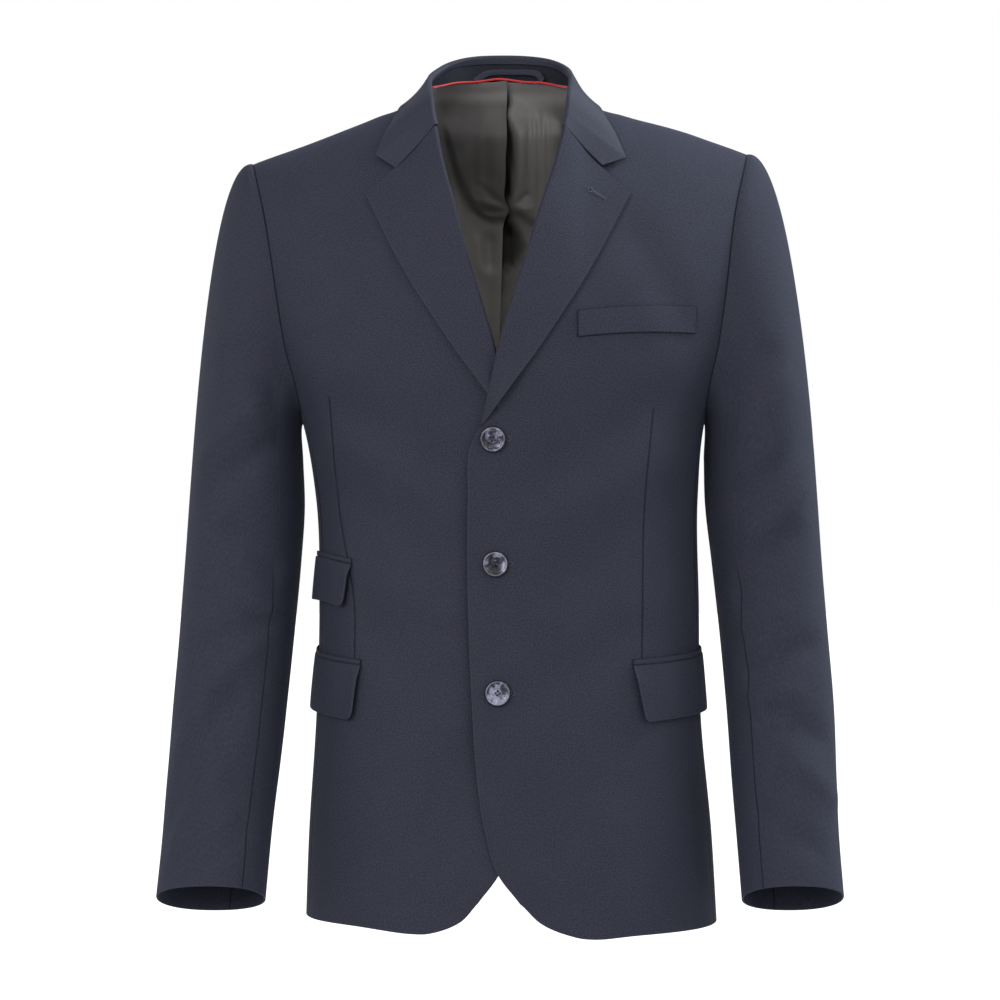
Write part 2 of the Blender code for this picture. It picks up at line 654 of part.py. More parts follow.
def lining_half(side):
    """The back lining hangs inside the back on the same grid; the right half laps over the left one."""
    last = armhole_edge(ARMHOLE_BACK, BACK_SEAM_ANGLE)
    last[0, 1] = LINING_HEM_SIDE
    grid = back_places(side, LINING_HEM_BACK, last)
    angle, level = grid[..., 0], grid[..., 1]
    normal = body_normal(side, angle, level)
    points = body_point(side, angle, level) + normal * LINING_LIFT
    points[..., 1] -= LINING_HANG * smooth_step((LINING_HANG_TOP - points[..., 2]) / 60.0)
    gap = np.where(np.arange(grid.shape[1]) < NECK_COLUMNS, LINING_NECK_GAP, LINING_SEAM_GAP)
    points[-1] += unit(points[-2] - points[-1]) * gap[:, None]
    points[:, -1] += unit(points[:, -2] - points[:, -1]) * LINING_SEAM_GAP
    if side == RIGHT:
        points[..., 1] -= PLEAT_LIFT * smooth_step((points[..., 0] + PLEAT_SPREAD) / PLEAT_SPREAD)
        points[:, 0, 0] += PLEAT_LAP
    else:
        points[:, 0, 0] += PLEAT_SHORTFALL
    return Panel("lining_back_" + SIDE_NAMES[side], points, -normal)


def hanger_loop(seam):
    """A flat band that stands on the neck seam, just in front of the stand."""
    line = resample(np.column_stack([column(HANGER_LOOP, "x"), column(HANGER_LOOP, "height")]), 8)
    x, height = line[:, 0], line[:, 1]
    front = seam + towards_neck(seam) * LOOP_INSET
    middle = len(front) // 2
    near = front[middle - COLLAR_BACK_STATIONS:middle + COLLAR_BACK_STATIONS + 1]
    top = np.column_stack([x, np.interp(x, near[:, 0], near[:, 1]), height])
    bottom = top - (0.0, 0.0, LOOP_WIDTH)
    bottom[:, 0] = x.mean() + (x - x.mean()) * 0.9
    points = np.stack([bottom, top])
    return Panel("hanger_loop", points, np.broadcast_to((0.0, -1.0, 0.0), points.shape))


# Solids

def material(name):
    found = bpy.data.materials.get(name)
    if found:
        return found
    colour, roughness, metallic = MATERIALS[name]
    made = bpy.data.materials.new(name)
    made.use_nodes = True
    shader = made.node_tree.nodes["Principled BSDF"]
    shader.inputs["Base Color"].default_value = (*colour, 1.0)
    shader.inputs["Roughness"].default_value = roughness
    shader.inputs["Metallic"].default_value = metallic
    made.diffuse_color = (*colour, 1.0)
    return made


def add_object(name, mesh_data, slot):
    mesh = bpy.data.meshes.new(name)
    mesh_data.to_mesh(mesh)
    mesh_data.free()
    mesh.materials.append(material(slot))
    mesh.shade_smooth()
    mesh.set_sharp_from_angle(angle=math.radians(50.0))
    made = bpy.data.objects.new(name, mesh)
    bpy.context.scene.collection.objects.link(made)
    return made


def cloth_wall(panel, thickness, slot):
    """The panel's outer skin, an inner skin set back by the cloth, and a rim all round."""
    outer = panel.points
    inner = outer - panel.normals * thickness
    shape = bmesh.new()
    skins = []
    for skin in (outer, inner):
        skins.append([[shape.verts.new(point * METRE) for point in row] for row in skin])
    rows, columns = outer.shape[:2]
    for grid in skins:
        for i in range(rows - 1):
            for j in range(columns - 1):
                shape.faces.new((grid[i][j], grid[i][j + 1], grid[i + 1][j + 1], grid[i + 1][j]))
    rim = [(0, j) for j in range(columns - 1)]
    rim += [(i, columns - 1) for i in range(rows - 1)]
    rim += [(rows - 1, j) for j in range(columns - 1, 0, -1)]
    rim += [(i, 0) for i in range(rows - 1, 0, -1)]
    for (i, j), (k, l) in zip(rim, rim[1:] + rim[:1]):
        shape.faces.new((skins[0][i][j], skins[0][k][l], skins[1][k][l], skins[1][i][j]))
    bmesh.ops.recalc_face_normals(shape, faces=shape.faces)
    return add_object(panel.name, shape, slot)


def neck_piping(seam):
    """A thin round cord just inside the back neck seam."""
    middle = len(seam) // 2
    line = seam + towards_neck(seam) * PIPING_INSET + (0.0, 0.0, 1.0)
    line = resample(line[middle - COLLAR_BACK_STATIONS:middle + COLLAR_BACK_STATIONS + 1], 20)
    curve = bpy.data.curves.new("neck_piping", "CURVE")
    curve.dimensions = "3D"
    curve.bevel_depth = PIPING_RADIUS * METRE
    curve.bevel_resolution = 1
    curve.use_fill_caps = True
    spline = curve.splines.new("POLY")
    spline.points.add(len(line) - 1)
    for point, place in zip(spline.points, line * METRE):
        point.co = (*place, 1.0)
    curve.materials.append(material("piping"))
    made = bpy.data.objects.new("neck_piping", curve)
    bpy.context.scene.collection.objects.link(made)


def button(row):
    """A turned disc with a raised rim and a dished middle, and four holes cut through it."""
    half = BUTTON_THICKNESS / 2.0
    profile = ((0.0, half - 0.9), (7.6, half - 0.8), (8.9, half), (10.2, half - 0.1),
               (BUTTON_RADIUS, half - 1.2), (BUTTON_RADIUS - 0.8, -half + 0.3), (8.0, -half), (0.0, -half))
    turned = bmesh.new()
    line = [turned.verts.new((r * METRE, 0.0, z * METRE)) for r, z in profile]
    edges = [turned.edges.new(pair) for pair in zip(line, line[1:])]
    bmesh.ops.spin(turned, geom=line + edges, cent=(0, 0, 0), axis=(0, 0, 1), angle=math.tau,
                   steps=BUTTON_SIDES, use_merge=True)
    bmesh.ops.remove_doubles(turned, verts=turned.verts, dist=0.00001)
    bmesh.ops.recalc_face_normals(turned, faces=turned.faces)
    disc = add_object(row.name, turned, "button")
    for index in range(4):
        around = math.radians(45.0 + 90.0 * index)
        cutter = bmesh.new()
        bmesh.ops.create_cone(cutter, cap_ends=True, segments=8, radius1=BUTTON_HOLE_RADIUS * METRE,
                              radius2=BUTTON_HOLE_RADIUS * METRE, depth=3.0 * BUTTON_THICKNESS * METRE)
        offset = (BUTTON_HOLE_SPREAD * math.cos(around) * METRE, BUTTON_HOLE_SPREAD * math.sin(around) * METRE, 0)
        bmesh.ops.translate(cutter, verts=cutter.verts, vec=offset)
        drill = add_object(f"{row.name}_drill_{index}", cutter, "button")
        drill.hide_render = True
        drill.display_type = "WIRE"
        drill.parent = disc
        cut = disc.modifiers.new(f"hole {index}", "BOOLEAN")
        cut.operation = "DIFFERENCE"
        cut.solver = "EXACT"
        cut.object = drill
    angle, level = place_at(LEFT, float(row.x), float(row.height))
    stand = BUTTON_STAND_OFF + half
    disc.location = front_point(LEFT, angle, level, stand) * METRE
    disc.rotation_euler = (math.radians(90.0), 0.0, 0.0)


def main():
    for old in list(bpy.data.objects):
        bpy.data.objects.remove(old)
    backs = {side: back_panel(side) for side in (LEFT, RIGHT)}
    share_seam(backs[LEFT], np.s_[:, 0], backs[RIGHT], np.s_[:, 0])
    cloth = []
    for side, back in backs.items():
        front, under = front_panel(side), side_panel(side)
        share_seam(front, np.s_[:SKIRT_ROWS + 1, -1], under, np.s_[:, 0])
        share_seam(back, np.s_[:SKIRT_ROWS + 1, -1], under, np.s_[:, -1])
        share_seam(front, np.s_[-1, :], back, np.s_[-1, NECK_COLUMNS:])
        sleeves = sleeve_panels(side, front, under, back)
        trim(front, "last", "top")
        trim(under, "first", "last", "top")
        trim(back, "first", "last", "top")
        cloth += [front, under, back, *sleeves]
    for panel in cloth:
        cloth_wall(panel, CLOTH, "cloth")
    seam, fold, edge = neck_lines()
    for panel in (lapel(LEFT), lapel(RIGHT), breast_welt(), collar_fall(fold, edge),
                  collar_stand(seam, fold), *pocket_pieces()):
        cloth_wall(panel, FACING_CLOTH, "facing")
    for panel in (lining_half(LEFT), lining_half(RIGHT)):
        cloth_wall(panel, LINING_CLOTH, "lining")
    cloth_wall(hanger_loop(seam), LINING_CLOTH, "facing")
    neck_piping(seam)
    for row in BUTTONS:
        button(row)


main()
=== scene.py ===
import math

import bpy
import numpy as np
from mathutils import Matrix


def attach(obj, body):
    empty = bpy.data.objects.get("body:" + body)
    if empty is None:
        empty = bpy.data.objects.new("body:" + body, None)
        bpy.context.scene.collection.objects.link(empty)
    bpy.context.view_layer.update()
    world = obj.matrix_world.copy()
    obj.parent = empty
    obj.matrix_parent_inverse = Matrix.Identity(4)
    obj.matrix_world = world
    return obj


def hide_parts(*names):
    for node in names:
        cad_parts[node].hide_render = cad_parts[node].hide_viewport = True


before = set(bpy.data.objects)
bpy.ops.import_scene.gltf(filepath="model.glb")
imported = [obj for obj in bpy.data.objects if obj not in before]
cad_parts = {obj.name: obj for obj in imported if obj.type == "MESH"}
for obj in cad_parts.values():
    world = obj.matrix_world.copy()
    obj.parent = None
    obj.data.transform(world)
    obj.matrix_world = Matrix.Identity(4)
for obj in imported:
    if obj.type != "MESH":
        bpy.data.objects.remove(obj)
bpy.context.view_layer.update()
print("jacket: frame loaded")

# Sizes are in millimetres until a mesh is made. The wearer faces -Y, Z is up, and left is the wearer's left, +X.
mm = 0.001
left, right = 1, -1
sideName = {left: "left", right: "right"}
join = np.concatenate


# small helpers

def table(*rows):
    return np.array(rows, float)


def unit(vectors):  # the same directions, one long
    return vectors / np.maximum(np.linalg.norm(vectors, axis=-1, keepdims=True), 1e-9)


def ease(t, start=0, end=1):
    # 0 at the start to 1 at the end, with soft ends: t squared times three less two t
    t = np.clip((t - start) / (end - start), 0, 1)
    return t * t * (3 - 2 * t)


def bell(t):  # 1 in the middle, falling away on both sides
    return np.exp(-t * t)


def steps(count, start=0, end=1):  # equal steps, with both ends
    return np.linspace(start, end, count + 1)


def cosSin(degrees):
    return np.cos(np.radians(degrees)), np.sin(np.radians(degrees))


def through(keys, values, at):
    # a cubic through the rows, its slope at each row set by the rows on both sides
    keys, values = np.asarray(keys, float), np.asarray(values, float)
    if keys[0] > keys[-1]:
        keys, values = keys[::-1], values[::-1]
    slopes = np.gradient(values, keys, axis=0)
    at = np.clip(np.asarray(at, float), keys[0], keys[-1])
    cell = np.clip(np.searchsorted(keys, at) - 1, 0, len(keys) - 2)
    width = keys[cell + 1] - keys[cell]
    t = (at - keys[cell]) / width
    if values.ndim > 1:
        t, width = t[..., None], width[..., None]
    rise = (values[cell + 1] - values[cell]) * (3 - 2 * t) * t * t
    bend = slopes[cell] * (1 - t) ** 2 * t - slopes[cell + 1] * (1 - t) * t * t
    return values[cell] + rise + bend * width


def follow(rows, at):  # the other columns of a table, where its first column has this value
    found = through(rows[:, 0], rows[:, 1:], at)
    return found[..., 0] if rows.shape[1] == 2 else found


def polyline(line, at):  # straight from row to row, at these row numbers
    return np.stack([np.interp(at, np.arange(len(line)), column) for column in line.T], axis=-1)


def lengthAlong(line):  # how far each point is along a line of points
    return join([[0], np.cumsum(np.linalg.norm(np.diff(line, axis=0), axis=1))])


def evenly(rows, count):  # the table's curve again, with equal steps along it
    length = lengthAlong(rows)
    return through(length, rows, steps(count, 0, length[-1]))


# the body form that every panel is a patch of

body = {
    "squareness": 2.5, "roundFront": 2, "roundBack": 2.3, "centreFront": -3, "centreRun": 160,
    "leftShoulderLift": 8.6, "neckHalfWidth": 69, "napeClimb": 0.86,
    "collarDip": 3.6,        # the shoulder is a little lower under the collar
    "frontSeam": 14, "backSeam": -16, "shoulderTip": 33,
    # level, half width, centre, front depth, back depth
    "sections": table(
        (-725, 181, 10, 122, 116), (-640, 177, 9, 120, 113), (-535, 169, 7.5, 116, 104), (-440, 167, 8, 113, 94),
        (-345, 168, 6, 117, 96), (-275, 178, 3, 122, 106), (-205, 205, 1.5, 126, 114), (-140, 222, 1, 125, 119),
        (-70, 238, 0, 121, 118), (0, 250, 0, 118, 115)),
    # distance out, height of the shoulder line there
    "ridge": table((0, 79), (35, 63), (58, 35), (69, 16), (90, -1), (110, -11), (138, -22.5), (170, -35), (217, -52),
                   (250, -66)),
}
underarm = -275


def ridgeHeight(side, out):
    # the shoulder line, lifted on the left side and dipped a little under the collar
    lift = body["leftShoulderLift"] * ease(out, 84, 174) if side == left else 0
    return follow(body["ridge"], np.abs(out)) + lift - body["collarDip"] * bell((np.abs(out) - 84) / 15)


def sectionAt(level):
    return np.moveaxis(follow(body["sections"], level), -1, 0)


def bodyPoint(side, angle, level):
    # superellipse sections up to the underarm, then drawn in towards the shoulder ridge and lifted with it
    angle, level = np.broadcast_arrays(np.asarray(angle, float), np.asarray(level, float))
    (c, s), power = cosSin(angle), 2 / body["squareness"]
    halfWidth, centre, front, back = sectionAt(level)
    x = centre + side * halfWidth * np.sign(c) * np.abs(c) ** power
    climb = np.clip(1 - level / underarm, 0, 1)
    roundness = np.where(s > 0, body["roundFront"], body["roundBack"])
    closing = (1 - climb ** roundness) ** (1 / roundness)
    depth = np.where(s > 0, -front, back) * np.abs(s) ** power * closing
    lifted = underarm + climb * (ridgeHeight(side, side * x) - underarm)
    return np.stack([x, depth, np.where(level > underarm, lifted, level)], axis=-1)


def bodyNormal(side, angle, level):
    # across the form's two directions: a small turn round it and a small rise up it
    level = np.minimum(level, -1.5)
    turn = bodyPoint(side, angle + 0.5, level) - bodyPoint(side, angle - 0.5, level)
    rise = bodyPoint(side, angle, level + 1) - bodyPoint(side, angle, level - 1)
    return unit(np.cross(rise, turn)) * side


def angleAt(side, x, level):
    # the superellipse turned round: its angle from how far across a point is
    halfWidth, centre = sectionAt(level)[:2]
    across = np.clip(side * (x - centre) / halfWidth, -1, 1)
    return np.degrees(np.arccos(np.sign(across) * np.abs(across) ** (body["squareness"] / 2)))


def placeAt(side, x, height, face=1):
    # the angle and level of the form at a distance across and a height, on the front (1) or back (-1)
    ridge = ridgeHeight(side, side * np.asarray(x, float))
    climb = np.clip((height - underarm) / (ridge - underarm), 0, 1)
    level = np.where(height > underarm, underarm * (1 - climb), height)
    return face * angleAt(side, x, level), level


def frontPlace(side, height, reach):  # the same, from how far out of the centre front line it reaches
    return placeAt(side, body["centreFront"] * ease(-height / body["centreRun"]) + side * reach, height)


# soft folds of the worn cloth: start x, z and end x, z, half width, depth out (+) or in (-)
frontFolds = {
    left: table(
        (30, -332, 150, -258, 22, -2.6), (40, -366, 150, -300, 16, 1.8), (50, -425, 168, -335, 20, -2.8),
        (60, -470, 160, -420, 16, 1.4), (10, -528, 112, -448, 22, -2.2), (-8, -560, 62, -650, 26, -1.8),
        (150, -330, 172, -430, 14, -1.6), (112, -110, 172, -222, 18, -2.6), (98, -610, 120, -716, 26, 2.4),
        (24, -590, 44, -716, 24, -2.2)),
    right: table(
        (-30, -326, -140, -262, 20, -2.6), (-38, -358, -140, -296, 14, 1.8), (-34, -410, -152, -330, 20, -2.8),
        (-40, -450, -150, -392, 14, 1.4), (-22, -524, -112, -452, 20, -2.2), (-24, -548, -74, -650, 22, -2.8),
        (-46, -540, -100, -640, 18, 1.4), (-150, -330, -163, -425, 12, -1.6), (-112, -110, -170, -222, 18, -2.6),
        (-98, -610, -124, -712, 26, 2.4), (-40, -600, -52, -712, 22, -2.2), (-14, -340, -11, -610, 17, -4.5)),
}
backFolds = table(
    (0, -120, 0, -300, 32, -2.4), (60, -250, 152, -200, 20, -3), (-62, -262, -152, -208, 20, -3),
    (40, -330, 150, -290, 18, 2.4), (-46, -340, -150, -286, 18, 2.4), (20, -410, 140, -432, 18, -3),
    (-24, -420, -140, -448, 20, -3), (30, -448, 120, -470, 14, 1.6), (-34, -455, -124, -482, 14, 1.6),
    (64, -520, 78, -680, 28, 3), (-70, -515, -84, -680, 30, 3.2), (0, -480, 0, -684, 22, -2.2))


def foldRelief(across, height, folds):
    # each fold is a soft trough or ridge along a line: a bell across it that fades at both ends
    relief = np.zeros(np.broadcast(across, height).shape)
    for x0, z0, x1, z1, halfWidth, depth in folds:
        length = math.hypot(x1 - x0, z1 - z0)
        along = ((across - x0) * (x1 - x0) + (height - z0) * (z1 - z0)) / length ** 2
        off = ((across - x0) * (z1 - z0) - (height - z0) * (x1 - x0)) / length
        relief += depth * ease(along, -0.175, 0.175) * ease(along, 1.175, 0.825) * bell(off / halfWidth)
    return relief


# the left front stands off the right one, and further where the right lapel lies under it
overlap = {"lift": 3.4, "lapelRoom": 3.6, "roomHeight": -252, "roomSpread": 78}


def frontPoint(side, angle, level, lift=0):
    # a point on the outside of a worn front, moved out by a lift
    points = bodyPoint(side, angle, level)
    x, z = points[..., 0], points[..., 2]
    lift = lift + foldRelief(x, z, frontFolds[side]) * ease(np.asarray(angle), 6, 26)
    if side == left:
        room = overlap["lapelRoom"] * bell((z - overlap["roomHeight"]) / overlap["roomSpread"])
        lift = lift + (overlap["lift"] + room) * ease(x, 80, 10)
    return points + bodyNormal(side, angle, level) * np.asarray(lift)[..., None]


# mesh makers

def addObject(name, data):
    made = bpy.data.objects.new(name, data)
    bpy.context.scene.collection.objects.link(made)
    return made


def makeMesh(name, points, faces, finish, weave=None, marks=()):
    mesh = bpy.data.meshes.new(name)
    mesh.vertices.add(len(points))
    mesh.vertices.foreach_set("co", (points * mm).astype(np.float32).ravel())
    mesh.loops.add(faces.size)
    mesh.loops.foreach_set("vertex_index", faces.astype(np.int32).ravel())
    mesh.polygons.add(len(faces))
    mesh.polygons.foreach_set("loop_start", np.arange(0, faces.size, faces.shape[1], dtype=np.int32))
    mesh.update(calc_edges=True)
    if weave is not None:
        layer = mesh.uv_layers.new(name="weave")
        layer.data.foreach_set("uv", (weave * mm)[faces.ravel()].astype(np.float32).ravel())
    for label, values in dict(marks).items():
        mesh.attributes.new(label, "FLOAT", "POINT").data.foreach_set("value", (values * mm).astype(np.float32))
    mesh.shade_smooth()
    mesh.materials.append(finish)
    made = addObject(name, mesh)
    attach(made, "root")
    return made


def gridFaces(rows, columns, start=0):
    # a four-cornered face between each point and its neighbours up and across
    index = start + np.arange(rows * columns).reshape(rows, columns)
    return np.stack([index[:-1, :-1], index[1:, :-1], index[1:, 1:], index[:-1, 1:]], axis=-1).reshape(-1, 4)


def gridNormals(points, outward):
    # across the grid's two directions, on the side that these directions point to
    normals = unit(np.cross(np.gradient(points, axis=0), np.gradient(points, axis=1)))
    return normals if np.sum(normals * outward) > 0 else -normals


def withSupport(data, reach):
    # one more row and column close inside each border, so that a rounded edge stays tight
    for axis in (0, 1):
        data = np.moveaxis(data, axis, 0)
        extra = []
        for edge, inner in ((data[0], data[1]), (data[-1], data[-2])):
            gap = np.linalg.norm(inner[..., :3] - edge[..., :3], axis=-1, keepdims=True)
            extra.append((edge + (inner - edge) * np.clip(reach / np.maximum(gap, 1e-6), 0, 0.5))[None])
        data = np.moveaxis(join([data[:1], extra[0], data[1:-1], extra[1], data[-1:]]), 0, axis)
    return data


allBorders = "left right bottom top"
farAway = 50  # so far from any seam that none is drawn


def borderDistance(across, along, borders):
    # how far each point is from the nearest of these borders; a border not named is far away
    distances = {"left": across, "right": across[:, -1:] - across, "bottom": along, "top": along[-1:] - along}
    return np.minimum.reduce([np.full(across.shape, farAway)] + [distances[border] for border in borders.split()])


def clothPiece(name, outer, normal, thick, edge, finish, sewn="", free=allBorders, line=None):
    # A wall of cloth: the outer grid, the same grid set back by the thickness, and a rounded rim.
    # The rim is a quarter turn of the edge radius off each skin. Sewn borders and a sewn line get a dark line of
    # painted seam shade.
    across, along = np.zeros(outer.shape[:2]), np.zeros(outer.shape[:2])
    across[:, 1:] = np.cumsum(np.linalg.norm(np.diff(outer, axis=1), axis=-1), axis=1)
    along[1:] = np.cumsum(np.linalg.norm(np.diff(outer, axis=0), axis=-1), axis=0)
    seam = borderDistance(across, along, sewn)
    if line is not None:
        seam = np.minimum(seam, line)
    marks = np.stack([across - across[:, outer.shape[1] // 2][:, None], along, seam,
                      borderDistance(across, along, free)], axis=-1)
    data = withSupport(join([outer, normal, marks], axis=-1), 2.2 * edge)
    points, normal, marks = data[..., :3], unit(data[..., 3:6]), data[..., 6:]
    rows, columns = points.shape[:2]
    inset = np.zeros_like(points)
    for border, inner in ((np.s_[0], np.s_[1]), (np.s_[-1], np.s_[-2]), (np.s_[:, 0], np.s_[:, 1]),
                          (np.s_[:, -1], np.s_[:, -2])):
        step = points[inner] - points[border]
        inset[border] += unit(step) * np.minimum(edge, 0.8 * np.linalg.norm(step, axis=-1, keepdims=True))
    # the rim runs along the bottom, up, back along the top and down again
    i = join([np.zeros(columns - 1), np.arange(rows - 1), np.full(columns - 1, rows - 1),
              np.arange(rows - 1, 0, -1)]).astype(int)
    j = join([np.arange(columns - 1), np.full(rows - 1, columns - 1), np.arange(columns - 1, 0, -1),
              np.zeros(rows - 1)]).astype(int)
    back = points - normal * thick
    rim = []
    for start, sign, turns in ((points, -1, (30, 60, 90)), (back, 1, (90, 60, 30))):
        for c, s in map(cosSin, turns):
            rim.append((start + inset * (1 - s) + normal * sign * edge * (1 - c))[i, j])
    vertices = join([(points + inset).reshape(-1, 3), (back + inset).reshape(-1, 3)] + rim)
    count, ring = rows * columns, len(i)
    order = [i * columns + j] + [2 * count + k * ring + np.arange(ring) for k in range(6)] + [count + i * columns + j]
    faces = [gridFaces(rows, columns), gridFaces(rows, columns, count)[:, ::-1]]
    for near, far in zip(order, order[1:]):
        faces.append(np.stack([near, np.roll(near, -1), np.roll(far, -1), far], axis=-1))
    faces = join(faces)
    turned = np.cross(points[1:, :-1] - points[:-1, :-1], points[:-1, 1:] - points[:-1, :-1])
    if np.sum(turned * normal[:-1, :-1]) < 0:
        faces = faces[:, ::-1]
    marks = join([marks.reshape(-1, 4)] * 2 + [marks[i, j]] * 6)
    return makeMesh(name, vertices, faces, finish, marks[:, :2], {"seam": marks[:, 2], "rim": marks[:, 3]})


def ringFaces(rings, sides, first, last):
    # walls between rings of points, and a fan of triangles onto the first and the last point
    index = np.arange(rings * sides).reshape(rings, sides)
    after = np.roll(index, -1, axis=1)
    walls = np.stack([index[:-1], index[1:], after[1:], after[:-1]], axis=-1).reshape(-1, 4)
    return join([walls[:, [0, 1, 2]], walls[:, [0, 2, 3]],
                 np.stack([np.full(sides, first), index[0], after[0]], axis=-1),
                 np.stack([np.full(sides, last), after[-1], index[-1]], axis=-1)])


def tubePoints(path, radius, sides, up=(0, 0, 1)):
    # a round section carried along a path, closed with a point at both ends
    path, radius = np.asarray(path, float), np.broadcast_to(radius, len(path))
    ahead = unit(np.gradient(path, axis=0))
    side = unit(np.cross(ahead, np.broadcast_to(up, ahead.shape)))
    rise = np.cross(side, ahead)
    c, s = (part[None, :, None] for part in cosSin(steps(sides, 0, 360)[:-1]))
    rings = path[:, None] + (c * side[:, None] + s * rise[:, None]) * radius[:, None, None]
    count = len(path) * sides
    return join([rings.reshape(-1, 3), path[:1], path[-1:]]), ringFaces(len(path), sides, count, count + 1)


def joined(parts):  # several (points, faces) as one
    starts = np.cumsum([0] + [len(points) for points, _ in parts[:-1]])
    return join([points for points, _ in parts]), join([faces + start for (_, faces), start in zip(parts, starts)])


# finishes

def wire(tree, node, inputs):
    for socket, value in inputs.items():
        if isinstance(value, bpy.types.NodeSocket):
            tree.links.new(value, node.inputs[socket])
        else:
            node.inputs[socket].default_value = value


def addNode(tree, kind, inputs, out=0, **settings):  # a node with its inputs set or wired, and one of its outputs
    made = tree.nodes.new("ShaderNode" + kind)
    for key, value in settings.items():
        setattr(made, key, value)
    wire(tree, made, inputs)
    return made.outputs[out]


def maths(tree, operation, a, b=0):
    return addNode(tree, "Math", {0: a, 1: b}, operation=operation)


def plus(tree, a, b):
    return maths(tree, "ADD", a, b)


def times(tree, a, b):
    return maths(tree, "MULTIPLY", a, b)


def scaled(tree, vector, by):
    return addNode(tree, "VectorMath", {0: vector, "Scale": by}, operation="SCALE")


def blend(tree, share, *colours):  # from the first colour to the second; a colour is three numbers or a socket
    first, second = (colour if isinstance(colour, bpy.types.NodeSocket) else (*colour, 1) for colour in colours)
    return addNode(tree, "Mix", {0: share, 6: first, 7: second}, 2, data_type="RGBA")


def remap(tree, value, low, high, start, end, curve="LINEAR", clamp=True):
    inputs = {0: value, 1: low, 2: high, 3: start, 4: end}
    return addNode(tree, "MapRange", inputs, interpolation_type=curve, clamp=clamp)


def noise(tree, vector, scale, detail, roughness=0.5, out="Fac"):
    return addNode(tree, "TexNoise", {"Vector": vector, "Scale": scale, "Detail": detail, "Roughness": roughness}, out)


def mark(tree, name):
    return addNode(tree, "Attribute", {}, "Fac", attribute_name=name)


def bumped(tree, height, strength, distance=0.0003):
    return addNode(tree, "Bump", {"Height": height, "Strength": strength, "Distance": distance})


def newMaterial(name, look, build):
    made = bpy.data.materials.new(name)
    made.use_nodes = True
    tree = made.node_tree
    wire(tree, tree.nodes["Principled BSDF"], {**look["sockets"], **build(tree, look)})
    return made


def twill(tree, look):
    # Fine diagonal wales crossed by the yarn, broken by a melange of lighter and darker fibres.
    # Shade is how light the fibre is, 0 to 1; height is the relief of wale, yarn and fuzz.
    cloth = scaled(tree, addNode(tree, "UVMap", {}, uv_map="weave"), 1 / look["wale"])
    x, y = addNode(tree, "SeparateXYZ", {0: cloth}).node.outputs[:2]
    fuzz, patch = noise(tree, cloth, 0.8, 2, 0.6), noise(tree, cloth, 0.035, 2)
    diagonal = plus(tree, plus(tree, x, y), times(tree, fuzz, 0.5))
    wale = maths(tree, "SINE", times(tree, diagonal, math.tau))
    yarn = maths(tree, "SINE", times(tree, maths(tree, "SUBTRACT", x, y), math.tau * 1.6))
    weave = plus(tree, times(tree, wale, 0.5), times(tree, yarn, 0.25))
    speckle = times(tree, plus(tree, fuzz, -0.5), 4.6)
    mixed = addNode(tree, "Mix", {0: look["melange"], 2: weave, 3: speckle}, data_type="FLOAT")
    tone = times(tree, plus(tree, patch, -0.5), look["tone"])
    shade = addNode(tree, "Clamp", {0: plus(tree, plus(tree, times(tree, mixed, 0.5), 0.5), tone)})
    height = plus(tree, times(tree, weave, 0.6), times(tree, fuzz, 0.8))
    # free edges are painted a little paler, a painted sheen, and sewn ones get a dark line of painted shade
    paintedEdgeSheen = remap(tree, mark(tree, "rim"), 0, 0.0018, look["rimShine"], 0)
    paintedSeamShade = remap(tree, mark(tree, "seam"), 0.0002, 0.0013, look["seamDepth"], 0, "SMOOTHSTEP")
    edged = blend(tree, paintedEdgeSheen, blend(tree, shade, look["dark"], look["light"]), look["rim"])
    return {"Base Color": blend(tree, paintedSeamShade, edged, look["seam"]), "Normal": bumped(tree, height, look["bump"], 0.0004),
            "Roughness": remap(tree, shade, 0, 1, look["rough"] + 0.08, look["rough"] - 0.08)}


def satin(tree, look):
    # long fine threads down the cloth; the colour is lighter and warmer towards the waist, painted light on the lower
    # lining, which is in shade
    cloth = addNode(tree, "UVMap", {}, uv_map="weave")
    height = addNode(tree, "SeparateXYZ", {0: addNode(tree, "TexCoord", {}, "Object")}, 2)
    streak = noise(tree, addNode(tree, "Mapping", {"Vector": cloth, "Scale": (1500, 60, 1)}), 1, 2)
    fall = remap(tree, height, -0.3, 0.01, 0, 1, "SMOOTHSTEP")
    light = plus(tree, times(tree, streak, 0.24), times(tree, noise(tree, cloth, 28, 3), 0.3))
    # the seam mark paints shade into the pleat and the bags, and paints light where it is more than plain cloth
    paintedShadeAndLight = remap(tree, mark(tree, "seam"), 0, 0.025, 0.05, 1, clamp=False)
    shade = times(tree, plus(tree, light, 0.73), paintedShadeAndLight)
    return {"Base Color": scaled(tree, blend(tree, fall, look["low"], look["top"]), shade),
            "Roughness": remap(tree, streak, 0.2, 0.8, look["rough"] - 0.05, look["rough"] + 0.08),
            "Normal": bumped(tree, streak, look["bump"])}


def cord(tree, look):  # twisted yarn: light and dark in slanted bands
    wave = {"Vector": addNode(tree, "TexCoord", {}, "Object"), "Scale": look["scale"], "Distortion": look["distortion"]}
    twist = addNode(tree, "TexWave", wave, "Fac", bands_direction="DIAGONAL")
    return {"Base Color": blend(tree, twist, look["deep"], look["bright"]), "Normal": bumped(tree, twist, look["bump"])}


